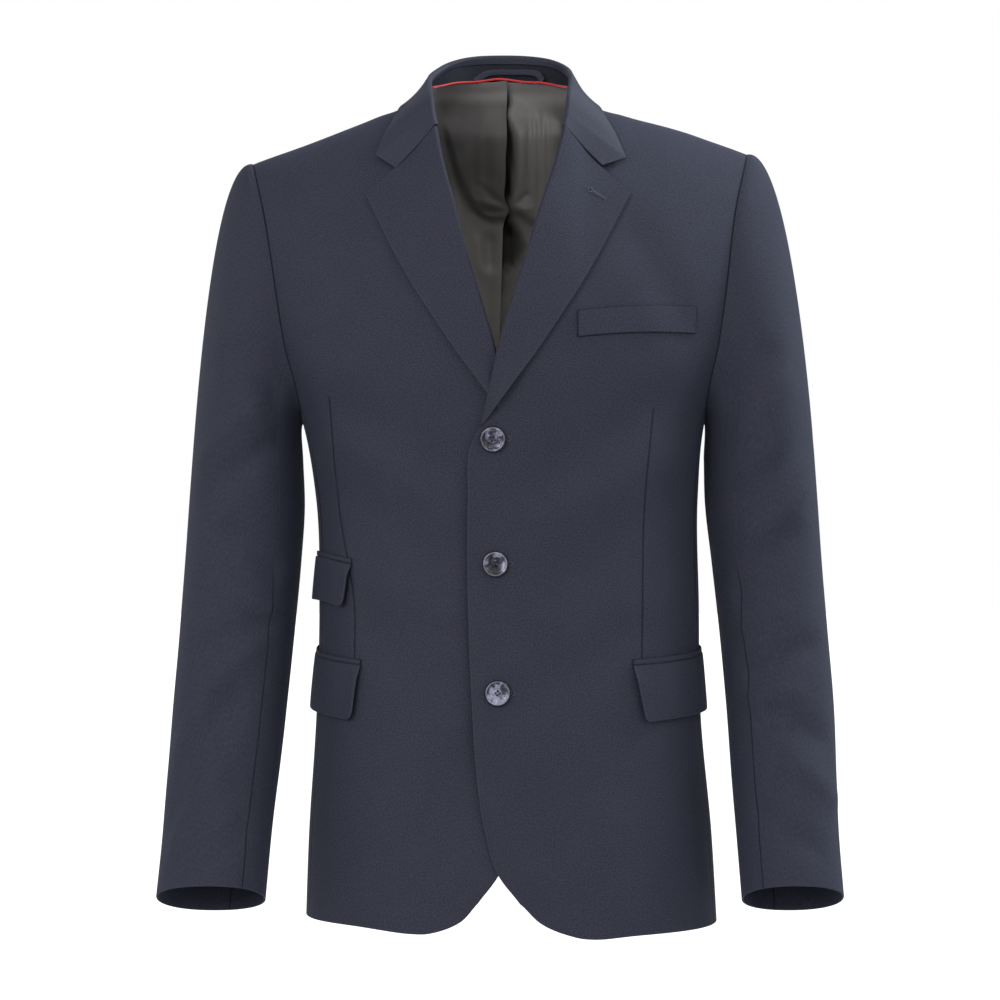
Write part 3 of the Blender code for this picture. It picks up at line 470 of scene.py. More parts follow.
def marble(tree, look):
    # cloudy marbling: a noise that is stretched and pulled about by another one
    place = addNode(tree, "TexCoord", {}, "Object")
    pull = scaled(tree, noise(tree, place, 70, 2, out="Color"), 0.03)
    cloud = noise(tree, addNode(tree, "VectorMath", {0: place, 1: pull}, operation="ADD"), 62, 5, 0.62)
    marbled = addNode(tree, "ValToRGB", {0: cloud})
    stops = marbled.node.color_ramp.elements
    stops[0].position, stops[0].color = 0.39, (*look["dark"], 1)
    stops[1].position, stops[1].color = 0.6, (*look["light"], 1)
    stops.new(0.47).color = (*look["middle"], 1)
    # a painted highlight on the crest of the rim, and painted shadow on the button's edge past it
    paintedRimHighlight = remap(tree, mark(tree, "out"), 0.0088, 0.0095, 0, 0.34, "SMOOTHSTEP")
    paintedEdgeShadow = remap(tree, mark(tree, "out"), 0.0099, 0.0104, 0, 1, "SMOOTHSTEP")
    return {"Base Color": blend(tree, paintedEdgeShadow, blend(tree, paintedRimHighlight, marbled, look["rim"]), look["outside"]),
            "Roughness": remap(tree, cloud, 0.3, 0.7, 0.26, 0.14)}


# rim is the colour of the painted edge sheen and rimShine how much of it; seam is the colour of the painted seam shade
shellLook = {
    "dark": (0.014, 0.0152, 0.0256), "light": (0.0496, 0.0532, 0.0845), "rim": (0.062, 0.067, 0.098),
    "seam": (0.006, 0.0065, 0.01), "rimShine": 0.22, "seamDepth": 0.8, "rough": 0.7, "bump": 0.45,
    "wale": 0.0011, "melange": 0.72, "tone": 0.14,
    "sockets": {"IOR": 1.33, "Specular IOR Level": 0.5, "Sheen Weight": 0.1, "Sheen Roughness": 0.35,
                "Sheen Tint": (0.62, 0.7, 0.95, 1)},
}
# the facings: the same twill with a little more painted edge sheen
facingLook = {**shellLook, "rimShine": 0.26}
collarLook = {**facingLook, "rough": 0.58, "sockets": {**shellLook["sockets"], "Specular IOR Level": 0.62}}
# the collar stand: the same twill painted darker, painted shade for the shade inside the collar
shadedStandLook = {**facingLook, "dark": (0.007, 0.008, 0.0125), "light": (0.024, 0.027, 0.04), "rimShine": 0.05,
             "sockets": {**shellLook["sockets"], "Specular IOR Level": 0.3, "Sheen Weight": 0.04}}
# top is the colour at the top and low at the waist; the far lighter low colour is painted light on the shaded lower
# lining
liningLook = {"top": (0.144, 0.137, 0.134), "low": (0.42, 0.402, 0.365), "rough": 0.46, "bump": 0.2,
              "sockets": {"Specular IOR Level": 0.42, "Sheen Weight": 0.1, "Sheen Roughness": 0.3}}
pipingLook = {"deep": (0.46, 0.008, 0.012), "bright": (0.86, 0.028, 0.035), "scale": 260, "distortion": 0.6,
              "bump": 0.4, "sockets": {"Roughness": 0.5, "Sheen Weight": 0.3, "Sheen Roughness": 0.4}}
navyLook = {"deep": (0.018, 0.02, 0.03), "bright": (0.05, 0.056, 0.08), "scale": 900, "distortion": 1,
            "bump": 0, "sockets": {"Roughness": 0.6, "Sheen Weight": 0.3}}
slateLook = {**navyLook, "deep": (0.022, 0.024, 0.036), "bright": (0.085, 0.092, 0.125)}
# rim is the colour of the painted rim highlight, and outside that of the painted shadow at the edge
resinLook = {"dark": (0.006, 0.0065, 0.012), "middle": (0.05, 0.05, 0.085), "light": (0.46, 0.46, 0.62),
             "rim": (0.34, 0.34, 0.44), "outside": (0.004, 0.004, 0.006),
             "sockets": {"Roughness": 0.22, "Specular IOR Level": 0.4, "Coat Weight": 0.25, "Coat Roughness": 0.1}}

shellCloth = newMaterial("slate navy twill", shellLook, twill)
facingCloth = newMaterial("slate navy twill more painted edge sheen", facingLook, twill)
collarCloth = newMaterial("slate navy twill collar", collarLook, twill)
shadedStandCloth = newMaterial("slate navy twill stand painted shade", shadedStandLook, twill)
liningSatin = newMaterial("grey brown satin", liningLook, satin)
pipingCord = newMaterial("red piping cord", pipingLook, cord)
navyThread = newMaterial("navy buttonhole thread", navyLook, cord)
lapelThread = newMaterial("lapel buttonhole thread", slateLook, cord)
resin = newMaterial("marbled resin", resinLook, marble)
print("jacket: finishes made")


# panels: a grid of places (angle, level) turned into points, with the direction out of the cloth

shell = {"thick": 1.6, "edge": 0.6, "rowsBelow": 108, "rowsAbove": 96, "frontColumns": 66, "sideColumns": 20,
         "neckColumns": 24, "backColumns": 52, "hemSide": {left: -717, right: -711}, "hemBack": -686,
         "rollInset": 3.2, "dartColumn": 0.6}
# height, reach from the centre front
buttonedEdge = {
    side: table(*low, (-628, lowReach), (-568, -18), (-518, -21), (-441, -24), (-344, -24), (-303, -22), (-283, -13))
    for side, low, lowReach in ((left, [(-690, 20), (-664, 0.5)], -10), (right, [(-690, 16), (-664, -3)], -12))}
rollLine = table((-283, -13), (-251, -6), (-218, 1), (-183, 11), (-140, 24), (-95, 36), (-60, 46), (-20, 54.7),
                 (-2, 61), (16, 70))
hemCurve = {left: table((-690, 20), (-707, 38), (-717, 61), (-721, 85), (-718.5, 128)),
            right: table((-690, 16), (-706, 31), (-715, 53), (-716.5, 75), (-712, 122))}
armhole = {  # level, angle
    "front": table((0, 33), (-70, 34.5), (-140, 31.5), (-205, 26.5), (-243, 21), (-266, 14)),
    "back": table((0, -33), (-70, -34), (-140, -32), (-200, -27), (-240, -22), (-264, -16)),
    "bottom": -281,
}
frontDart = {  # height and x down the dart
    left: table((-720, 119), (-471, 121.4), (-339.5, 124.4), (-263, 131.8), (10, 150)),
    right: table((-720, -124), (-600, -124.5), (-490, -125), (-440, -125), (-359, -138), (-253, -147), (10, -160)),
    "depth": 0.75, "width": 0.9, "swell": 0.5, "swellWidth": 9,
    "top": {left: -263, right: -253}, "bottom": {left: -486, right: -490},
    "columns": table(-4, -2.2, -1.2, -0.6, 0, 0.6, 1.2, 2.2, 4),  # how far off the dart the nearest ones run
}


def places(angle, level):
    return np.stack(np.broadcast_arrays(angle, level), axis=-1).astype(float)


def coons(u, v, bottom, top, first, last):
    # a patch filled in between its four edges: the two ruled surfaces added, less the one between the corners
    u, v = np.broadcast_arrays(u, v)
    b, t, f, l = (polyline(edge, at * (len(edge) - 1)) for edge, at in ((bottom, u), (top, u), (first, v), (last, v)))
    u, v = u[..., None], v[..., None]
    ruled = (1 - v) * b + v * t + (1 - u) * f + u * l
    return ruled - ((1 - u) * (1 - v) * bottom[0] + u * (1 - v) * bottom[-1] + (1 - u) * v * top[0] + u * v * top[-1])


def armholeEdge(rows, seamAngle, hem):
    # up the underarm seam in equal steps, then round the armhole, with steps that shorten towards the shoulder
    levels = rows[-1, 0] * (1 - cosSin(steps(shell["rowsAbove"], 0, 90)[1:])[1])
    return join([places(seamAngle, steps(shell["rowsBelow"], hem, rows[-1, 0])), places(follow(rows, levels), levels)])


def shoulderTip(side):
    return bodyPoint(side, body["shoulderTip"], 0)[0]


def faced(side, angle, level, points):  # points with the direction out of the cloth
    return points, gridNormals(points, bodyNormal(side, angle, level))


def frontPanel(side):
    # a patch between the buttoned edge and roll, the hem, the side seam and armhole, and the shoulder
    edge = join([evenly(buttonedEdge[side], shell["rowsBelow"]), evenly(rollLine, shell["rowsAbove"])[1:]])
    height, reach = edge.T
    # the front stops short of the roll, which the lapel turns round
    reach = reach + shell["rollInset"] * ease(height, -288, -258) * ease(height, 10, -10)
    first = places(*frontPlace(side, height, reach))
    first[-1] = angleAt(side, side * body["neckHalfWidth"], 0), 0
    last = armholeEdge(armhole["front"], body["frontSeam"], shell["hemSide"][side])
    hem = np.vstack([places(*frontPlace(side, *hemCurve[side].T)), [body["frontSeam"], shell["hemSide"][side]]])
    bottom = through(np.arange(len(hem)), hem, steps(199, 0, len(hem) - 1))
    top = places(angleAt(side, steps(199, side * body["neckHalfWidth"], shoulderTip(side)), 0), 0)
    v = steps(len(first) - 1)[:, None]
    # the columns run down the dart, and crowd beside it
    dart = frontDart[side]
    seen = bodyPoint(side, *np.moveaxis(coons(steps(240)[None], v, bottom, top, first, last), -1, 0))
    width = np.linalg.norm(np.diff(seen, axis=1), axis=-1).sum(axis=1, keepdims=True)
    out = side * (seen[..., 0] - follow(dart, seen[..., 2]))
    cell = np.clip(np.sum(out < 0, axis=1) - 1, 0, 239)[:, None]
    before, after = np.take_along_axis(out, cell, 1), np.take_along_axis(out, cell + 1, 1)
    near = (cell + np.clip(-before / (after - before), 0, 1)) / 240 + frontDart["columns"][None] / width
    count = shell["frontColumns"]
    inner = int(count * shell["dartColumn"])
    u = join([near[:, :1] * steps(inner - 1)[None, :-1], near,
              near[:, -1:] + (1 - near[:, -1:]) * steps(count - inner - 1)[None, 1:]], axis=1)
    angle, level = np.moveaxis(coons(u, v, bottom, top, first, last), -1, 0)
    points, normals = faced(side, angle, level, frontPoint(side, angle, level))
    x, z = points[..., 0] - follow(dart, points[..., 2]), points[..., 2]
    fade = ease((frontDart["top"][side] - z) / 30) * ease((z - frontDart["bottom"][side]) / 6)
    groove = frontDart["depth"] * bell(x / frontDart["width"]) - frontDart["swell"] * bell(x / frontDart["swellWidth"])
    # the last is how far each point is from the dart, for its dark line of painted seam shade
    return points - normals * (groove * fade)[..., None], normals, np.where(fade > 0.05, np.abs(x), farAway)


def sidePanel(side):
    # straight up from the hem to the bottom of the armhole, which dips between front and back
    angles = steps(shell["sideColumns"], body["frontSeam"], body["backSeam"])
    back, middle, front = armhole["back"][-1, 0], armhole["bottom"], armhole["front"][-1, 0]
    tops = follow(table((-16, back), (-8, 0.3 * back + 0.7 * middle), (0, middle), (7, 0.3 * front + 0.7 * middle),
                        (14, front)), angles)
    levels = shell["hemSide"][side] + steps(shell["rowsBelow"])[:, None] * (tops[None] - shell["hemSide"][side])
    angles = np.broadcast_to(angles[None], levels.shape)
    return faced(side, angles, levels, bodyPoint(side, angles, levels))


def necklineLevel(out):
    # the back neck seam: a power curve, lowest at the centre back
    climb = body["napeClimb"]
    return underarm * (1 - climb - (1 - climb) * (np.asarray(out) / body["neckHalfWidth"]) ** 2.2)


def backPlaces(side, hem, last, neckColumns, columns, rowsBelow, rowsAbove):
    # angle and level of a back, from the centre back out to the armhole
    neckX = side * body["neckHalfWidth"] * cosSin(steps(80, 0, 90))[1]
    neckLevel = necklineLevel(np.abs(neckX))
    neck = places(-angleAt(side, neckX, neckLevel), neckLevel)
    neck[0, 0] = -90
    shoulderX = steps(140, side * body["neckHalfWidth"], shoulderTip(side))[1:]
    top = polyline(join([neck, places(-angleAt(side, shoulderX, 0), 0)]),
                   join([steps(neckColumns, 0, 80), steps(columns, 80, 220)[1:]]))
    levels = join([steps(rowsBelow, hem, underarm), steps(rowsAbove, underarm, neckLevel[0])[1:]])
    angles = steps(len(top) - 1, -90, last[0, 0])
    bottom = places(angles, hem + (last[0, 1] - hem) * ease(angles, -90, -16))
    return np.moveaxis(coons(steps(len(top) - 1)[None], steps(len(levels) - 1)[:, None], bottom, top,
                             places(-90, levels), last), -1, 0)


def backPanel(side):
    # the back's places on the form, moved out by its folds
    last = armholeEdge(armhole["back"], body["backSeam"], shell["hemSide"][side])
    angle, level = backPlaces(side, shell["hemBack"], last, shell["neckColumns"], shell["backColumns"],
                              shell["rowsBelow"], shell["rowsAbove"])
    points = bodyPoint(side, angle, level)
    relief = foldRelief(points[..., 0], points[..., 2], backFolds)
    relief = relief * ease(-angle, 8, 28) * ease(level, -2, -62)
    return faced(side, angle, level, points + bodyNormal(side, angle, level) * relief[..., None])


# sleeves

sleeve = {
    # height, out, forward, half width, half depth, tilt
    "rings": table(
        (-312, 226, -10, 48.5, 80, 0.02), (-350, 227, -6, 50, 73, 0.05), (-401, 230.5, 1, 49.5, 65, 0.08),
        (-470, 236, 13, 48.5, 59, 0.13), (-530, 240.5, 26, 48, 54, 0.18), (-590, 243.5, 42, 47, 50, 0.25),
        (-640, 246.5, 57, 46, 47, 0.31), (-691, 250.5, 73, 46, 45, 0.35)),
    # height, sideways shift, widening
    "fit": {left: table((-312, 3.1, 0), (-400, 4.3, -1.3), (-540, 4.3, -1.3), (-620, 2.9, -1.8), (-691, 1.5, -2.2)),
            right: table((-312, 3.1, 0), (-400, 4.4, 1.4), (-540, 4.2, 1.4), (-620, 1.7, 0.9), (-691, 1.7, 0.9))},
    "squareness": 2.2, "frontSeam": 128, "backSeam": 255, "outward": 0.37, "downward": 1.14, "fullness": 0.26,
    "capRows": 44, "capPower": 1.15, "lowRows": 96, "foldStretch": 0.85,
    # the sleeve seams get a dark line of painted shade, which fades in below the cap
    "seamStart": 0.45, "seamAway": 6,  # at the cap the sewn line is this far off, so it fades in below
    # start turn, height and end turn, height, half width in mm, depth
    "folds": {
        left: table(
            (70, -215, 128, -262, 11, -3.2), (52, -240, 118, -292, 9, 2), (30, -290, 128, -352, 12, -4.2),
            (40, -335, 120, -385, 9, 2.6), (60, -372, 132, -432, 12, -4.2), (84, -440, 134, -462, 8, 2.2),
            (50, -470, 130, -500, 11, -3.6), (74, -512, 132, -520, 8, 2.2), (36, -560, 112, -530, 13, -3.4),
            (20, -610, 90, -570, 11, 2.6), (60, -650, 128, -612, 11, -2.6), (210, -330, 300, -365, 14, -3.2),
            (205, -420, 300, -440, 13, -3.6), (215, -475, 305, -480, 11, 2.6), (205, -540, 300, -515, 13, -3)),
        right: table(
            (70, -215, 128, -262, 11, -3.2), (52, -240, 118, -292, 9, 2), (46, -346, 126, -296, 12, -4),
            (40, -316, 110, -262, 9, 2.2), (76, -372, 132, -412, 12, -4), (84, -430, 134, -446, 8, 2.4),
            (50, -480, 130, -452, 11, -3), (66, -512, 118, -470, 8, 2.4), (38, -612, 104, -512, 13, -4.6),
            (36, -570, 84, -500, 9, 2.6), (46, -650, 96, -568, 10, 3.4), (60, -668, 128, -626, 11, -2.6),
            (210, -325, 300, -360, 14, -3.2), (205, -425, 300, -436, 13, -3.6), (215, -470, 305, -486, 11, 2.6),
            (205, -535, 300, -520, 13, -3)),
    },
}


def sleeveRing(side, ring, turn):
    # an ellipse round the arm: 0 faces away from the body, 90 the front; it tilts up in front
    height, out, forward, halfWidth, halfDepth, tilt = (ring[..., k, None] for k in range(6))
    power = 2 / sleeve["squareness"]
    c, s = (np.sign(part) * np.abs(part) ** power for part in cosSin(turn))
    fit = follow(sleeve["fit"][side], height[..., 0])
    x = fit[..., :1] + side * (out + (halfWidth + fit[..., 1:]) * c)
    return np.stack([x, -forward - halfDepth * s, height + tilt * halfDepth * s], axis=-1)


def sleeveTube(side, opening):
    # the cap is a cubic from the armhole, leaving outwards, to the first ring, arriving downwards
    length = lengthAlong(opening)
    turn = 360 * length / length[-1]
    rings = sleeve["rings"]
    bicep, below = sleeveRing(side, rings[0], turn), sleeveRing(side, rings[1], turn)
    reach = np.linalg.norm(bicep - opening, axis=1, keepdims=True)
    radial = unit((opening - opening.mean(axis=0)) * (0, 1, 1))
    leave = unit(np.array([side, 0, 0]) + sleeve["fullness"] * radial) * reach * sleeve["outward"]
    arrive = unit(below - bicep) * reach * sleeve["downward"]
    t = steps(sleeve["capRows"])[:, None, None] ** sleeve["capPower"]
    cap = ((2 * t ** 3 - 3 * t ** 2 + 1) * opening + (t ** 3 - 2 * t ** 2 + t) * leave
           + (3 * t ** 2 - 2 * t ** 3) * bicep + (t ** 3 - t ** 2) * arrive)
    heights = steps(sleeve["lowRows"], rings[0, 0], rings[-1, 0])[1:]
    points = join([cap, sleeveRing(side, np.column_stack([heights, follow(rings, heights)]), turn)])
    wrapped = join([points[:, -2:-1], points, points[:, 1:2]], axis=1)
    normals = unit(np.cross(np.gradient(points, axis=0), wrapped[:, 2:] - wrapped[:, :-2]))
    if np.sum(normals * (points - points[:, :-1].mean(axis=1, keepdims=True))) < 0:
        normals = -normals
    # folds are laid out in turn round the arm and height
    stretch = sleeve["foldStretch"]
    relief = foldRelief(turn[None] * stretch, points[..., 2], sleeve["folds"][side] * (stretch, 1, stretch, 1, 1, 1))
    relief = relief * ease(np.arange(len(points)), 6, 26)[:, None]
    return points + normals * relief[..., None], normals, turn


def buildShell():
    # every panel's points and normals, its sewn and its free borders, and how far each point is from a sewn line, where
    # painted seam shade is drawn
    made = {}
    backs = {side: backPanel(side) for side in (left, right)}
    shared = unit(backs[left][1][:, 0] + backs[right][1][:, 0])
    below, above, columns = shell["rowsBelow"], shell["rowsAbove"], shell["sideColumns"]
    for side in (left, right):
        backPoints, backNormals = backs[side]
        backNormals[:, 0] = shared
        frontPoints, frontNormals, dartLine = frontPanel(side)
        underPoints, underNormals = sidePanel(side)
        # neighbouring panels share one wall direction where they meet, like a mitre
        for normals, column in ((frontNormals, 0), (backNormals, -1)):
            mean = unit(normals[:below + 1, -1] + underNormals[:, column])
            normals[:below + 1, -1], underNormals[:, column] = mean, mean
        for normals in (frontNormals[-1], backNormals[-1, shell["neckColumns"]:]):
            normals[:] = unit(normals + (0, 0, 1))
        opening, openingOut = (
            join([front[:below - 1:-1, -1], under[-1, 1:-1], back[below:, -1]]) for front, under, back in
            ((frontPoints, underPoints, backPoints), (frontNormals, underNormals, backNormals)))
        points, normals, turn = sleeveTube(side, opening)
        mean = unit(openingOut + normals[0])
        normals[0] = mean
        frontNormals[:below - 1:-1, -1] = mean[:above + 1]
        underNormals[-1] = mean[above:above + columns + 1]
        backNormals[below:, -1] = mean[above + columns:]
        name = sideName[side]
        made["front_" + name] = frontPoints, frontNormals, "right top", "left bottom", dartLine
        made["back_" + name] = backPoints, backNormals, "left right top", "bottom", None
        made["side_" + name] = underPoints, underNormals, "left right top", "bottom", None
        frontSeam, backSeam = (int(np.argmin(np.abs(turn - sleeve[seam]))) for seam in ("frontSeam", "backSeam"))
        upper = join([np.arange(backSeam, len(turn) - 1), np.arange(frontSeam + 1)])
        for node, pick in (("sleeve_upper_", upper), ("sleeve_under_", np.arange(frontSeam, backSeam + 1))):
            pick = join([pick[:-1:2], pick[-1:]])
            grid = points[:, pick]
            ends = np.stack([grid[:, 0], grid[:, -1]])[:, :, None]
            away = np.linalg.norm(grid[None] - ends, axis=-1).min(axis=0)
            fadeIn = ease(np.arange(len(away)), sleeve["capRows"], sleeve["capRows"] + 30)[:, None]
            away += sleeve["seamStart"] + sleeve["seamAway"] * (1 - fadeIn)
            made[node + name] = grid, normals[:, pick], "bottom", "top", away
    return made


def dress(node):
    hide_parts(node)


for node, (outer, normal, sewn, free, line) in buildShell().items():
    piece = clothPiece("worn_" + node, outer, normal, shell["thick"], shell["edge"], shellCloth, sewn, free, line)
    dress(node)
print("jacket: shell panels made")


# lapels

lapel = {
    "thick": 1.4, "edge": 0.55, "rows": 96, "columns": 34, "wrapSteps": 10,
    # height, reach
    "edgeLine": table((-288, -15), (-250, 13), (-219, 36), (-192, 54), (-145, 83), (-86.5, 113)),
    "roll": np.vstack([rollLine[:7], (-26, 53.4)]),
    "liftRoll": 4.2, "liftEdge": 5.2, "peakRound": 3.4, "gorgeSag": 3.9, "gorgeEnd": 89,
    "breakSwell": 3.6, "breakAt": 0.16, "breakSpread": 0.1,  # the edge stands up just above the top button
}


def roundCorner(a, b, radius):
    # a and b are distances in from two borders; near their corner a square is turned into a quarter disc
    p, q = np.clip((radius - a) / radius, 0, 1), np.clip((radius - b) / radius, 0, 1)
    near = (a < radius) & (b < radius)
    return (np.where(near, radius - radius * p * np.sqrt(1 - q * q / 2), a),
            np.where(near, radius - radius * q * np.sqrt(1 - p * p / 2), b))


def lapelPiece(side):
    # straight from the roll to the edge, lifted off the front, with a half turn round the roll to its back
    roll, rim = evenly(lapel["roll"], lapel["rows"]), evenly(lapel["edgeLine"], lapel["rows"])
    t = steps(lapel["rows"])[:, None]
    liftRoll = 0.5 + (lapel["liftRoll"] - 0.5) * ease(t, 0, 0.3)
    radius = (liftRoll + shell["thick"]) / 2
    span = np.linalg.norm(rim - roll, axis=1)[:, None]
    share = steps(lapel["columns"])[None] ** 0.9
    length = lengthAlong((roll + rim) / 2)[-1]
    b, a = roundCorner(span * (1 - share), length * (1 - t) * np.ones_like(share), lapel["peakRound"])
    start = np.clip(radius / span, 0, 0.45)
    share, down = start + (1 - start) * (1 - b / span), 1 - a / length
    along = down * lapel["rows"]
    heights, reaches = np.moveaxis(
        polyline(roll, along) * (1 - share[..., None]) + polyline(rim, along) * share[..., None], -1, 0)
    heights = heights - lapel["gorgeSag"] * np.sin(math.pi * share ** 0.7) * ease(down, 0.6, 1)
    swell = lapel["breakSwell"] * bell((down - lapel["breakAt"]) / lapel["breakSpread"])
    liftRim = 0.5 + (lapel["liftEdge"] + swell - 0.5) * ease(down, 0, 0.1)
    dip = np.sin(math.pi * share) * ease(down, 0, 0.25) * ease(down, 1, 0.8)
    angle, level = frontPlace(side, heights, reaches)
    face = frontPoint(side, angle, level, liftRoll * (1 - ease(share)) + liftRim * ease(share) - dip)
    out = bodyNormal(side, angle[:, :1], level[:, :1])
    back = unit(face[:, :1] - face[:, 1:2])
    back = unit(back - np.sum(back * out, axis=-1, keepdims=True) * out)
    centre = face[:, :1] - out * radius[..., None]
    c, s = (part[:, None] for part in cosSin(steps(lapel["wrapSteps"], 180, 0)[:-1]))
    wrap = centre + (out * c + back * s) * radius[..., None]
    points = join([wrap, face], axis=1)
    return points, gridNormals(points, join([wrap - centre, bodyNormal(side, angle, level)], axis=1))


for side in (left, right):
    node = "lapel_" + sideName[side]
    points, normals = lapelPiece(side)
    # the gorge seam's dark line of painted shade is drawn as far as the collar covers it
    gorge = np.linalg.norm(points - points[-1], axis=-1) + 0.7
    gorge[np.abs(points[..., 0]) >= lapel["gorgeEnd"]] = farAway
    piece = clothPiece("turned_" + node, points, normals, lapel["thick"], lapel["edge"], facingCloth,
                       free="right", line=gorge)
    dress(node)
print("jacket: lapels made")


# collar

collar = {
    "thick": 1.4, "edge": 0.5, "radius": 2.9, "steps": 10, "rows": 20, "wrapSteps": 10, "inside": 5,
    "backStations": 4, "smoothed": 9, "standEdge": 0.4, "standInset": 3.4, "standRise": 0.6, "standLast": 5,
    "pointRound": 2.2,
    # seam x, seam z, fold x, fold y, fold z, edge x, edge z, bulge, how far the edge lies off the body
    "stations": [
        (0, None, 0, 74, 54, 0, 9, 4.5, 4.4), (24, None, 25, 70.5, 52.5, 36, 7, 4.5, 4.2),
        (44, None, 45, 59, 47, 64, 2, 4, 4.4), (59, None, 57, 38, 38, 76, -1, 1, 4.2),
        (69, 16, 62, 5, 28, 85, -4.5, -2, 3.2), (66, 9, 61.5, -27, 16, 91.5, -16.5, 0, 3.2),
        (61, -2, 59.5, None, 3, 99.5, -33, 1.2, 4.2), (57, -12, 57, None, -12, 106.2, -53, -0.6, 5.4),
        (54, -20, 55, None, -23.5, 88.6, -64.6, -1.3, 5.4)],
    # the left side is a little different: fold x, fold z, edge x, edge z
    "leftOnly": [(0, 0, 0, 0), (1, 0.4, 0, 0), (3, 1.4, 0, 0), (3.4, 2.2, 0, 0), (1, 1.2, 0, 0), (0, 0, 0, 0),
                 (0, 0, 0.6, -1), (0, -0.6, 1.6, -2.6), (0, -1, -1.8, 2)],
    "foldLift": 6.2,         # how far the fold lies off the front where it has no y of its own
}


def neckLines():
    # neck seam, fold, outer edge and bulge at each station, from the right gorge round the back to the left one
    seam, fold, edge, bulge = [], [], [], []
    last = len(collar["stations"]) - 1
    for side, station in [(right, k) for k in range(last, -1, -1)] + [(left, k) for k in range(1, last + 1)]:
        seamX, seamZ, foldX, foldY, foldZ, edgeX, edgeZ, swell, lift = collar["stations"][station]
        face = -1 if station < collar["backStations"] else 1
        if seamZ is None:
            place = -angleAt(side, side * seamX, necklineLevel(seamX)), necklineLevel(seamX)
        else:
            place = placeAt(side, side * seamX, float(seamZ), face)
        seam.append(bodyPoint(side, *place))
        foldShift, foldRise, edgeShift, edgeRise = collar["leftOnly"][station] if side == left else (0, 0, 0, 0)
        if foldY is None:
            foldY = frontPoint(side, *placeAt(side, side * foldX, float(foldZ)), collar["foldLift"])[1]
        fold.append((side * foldX + foldShift, foldY, foldZ + foldRise))
        place = placeAt(side, side * (edgeX + edgeShift), float(edgeZ + edgeRise), face)
        edge.append(bodyPoint(side, *place) + bodyNormal(side, *place) * lift)
        bulge.append(swell)
    return table(*seam), table(*fold), table(*edge), table(*bulge)


def fine(line, start, end, count):  # the line again between two of its rows, with more points
    return through(np.arange(len(line)), line, steps(count, start, end))


def withStraightEnds(line, count):
    share = steps(count)[:-1, None]
    return join([line[0] + (line[1] - line[0]) * share, fine(line[1:-1], 0, len(line) - 3, count * (len(line) - 3)),
                 (line[-1] + (line[-2] - line[-1]) * share)[::-1]])


def filletAt(line, corner, radius):
    # the corner of a line is turned into a small arc: a parabola between two points a radius away
    line = line.copy()
    point = line[corner]
    behind, ahead = unit(line[corner - 1] - point), unit(line[corner + 1] - point)
    away = np.linalg.norm(line - point, axis=1) * np.sign(np.arange(len(line)) - corner)
    near = np.abs(away) < radius
    t = ((away + radius) / (2 * radius))[near, None]
    line[near] = point + (1 - t) ** 2 * radius * behind + t ** 2 * radius * ahead
    return line


seamLine, foldLine, edgeLine, bulgeLine = neckLines()


def collarFall():
    # up the inside, a half turn over the fold, and down to the edge with a parabola's bulge between
    count, radius, window = collar["steps"], collar["radius"], collar["smoothed"]
    fold, edge = withStraightEnds(foldLine, count), withStraightEnds(edgeLine, count)
    for corner in (count, len(edge) - 1 - count):
        edge = filletAt(edge, corner, collar["pointRound"])
    bulge = fine(bulgeLine, 0, len(bulgeLine) - 1, count * (len(bulgeLine) - 1))
    down = unit(edge - fold)
    out = unit(np.cross(np.gradient(fold, axis=0), edge - fold))
    out *= np.sign(out[len(fold) // 2, 1])
    # the direction out is a running mean along the collar, square to the fall
    out = np.pad(out, ((window // 2, window // 2), (0, 0)), "edge")
    out = unit(np.stack([np.convolve(column, np.ones(window) / window, "valid") for column in out.T], axis=-1))
    out = unit(out - np.sum(out * down, axis=-1, keepdims=True) * down)
    centre = fold - out * radius + down * radius
    share = steps(collar["rows"])[:, None, None]
    fall = (centre + out * radius) * (1 - share) + edge * share + 4 * share * (1 - share) * out * bulge[:, None]
    c, s = (part[:, None, None] for part in cosSin(steps(collar["wrapSteps"], 180, 0)[:-1]))
    wrap = centre + (out * c - down * s) * radius
    inner = centre - out * radius + down * steps(5, collar["inside"], 0.5)[:, None, None]
    points = join([inner, wrap, fall])
    outward = join([np.broadcast_to(-out, inner.shape), wrap - centre, np.broadcast_to(out, fall.shape)])
    return points, gridNormals(points, outward), inner[0]


def towardsNeck(line):
    # level, towards the middle of the neck
    return unit(-line * (1, 1, 0))


def collarStand(top):
    # straight from just inside the neck seam to the inner edge of the fall
    middle, last = len(seamLine) // 2, collar["standLast"]
    count = collar["steps"]
    low = fine(seamLine, middle - last, middle + last, 2 * last * count)
    low = low + towardsNeck(low) * collar["standInset"] + (0, 0, collar["standRise"])
    share = steps(12)[:, None, None]
    points = low * (1 - share) + top[(middle - last) * count:(middle + last) * count + 1] * share
    return points, gridNormals(points, np.broadcast_to(towardsNeck(low), points.shape))


*fall, standTop = collarFall()
piece = clothPiece("turned_collar", *fall, collar["thick"], collar["edge"], collarCloth, "", "top")
dress("collar_fall")
stand = collarStand(standTop)
piece = clothPiece("inner_collar_stand", *stand, collar["thick"], collar["standEdge"], shadedStandCloth, "bottom top", "")
dress("collar_stand")
print("jacket: collar made")


# pockets

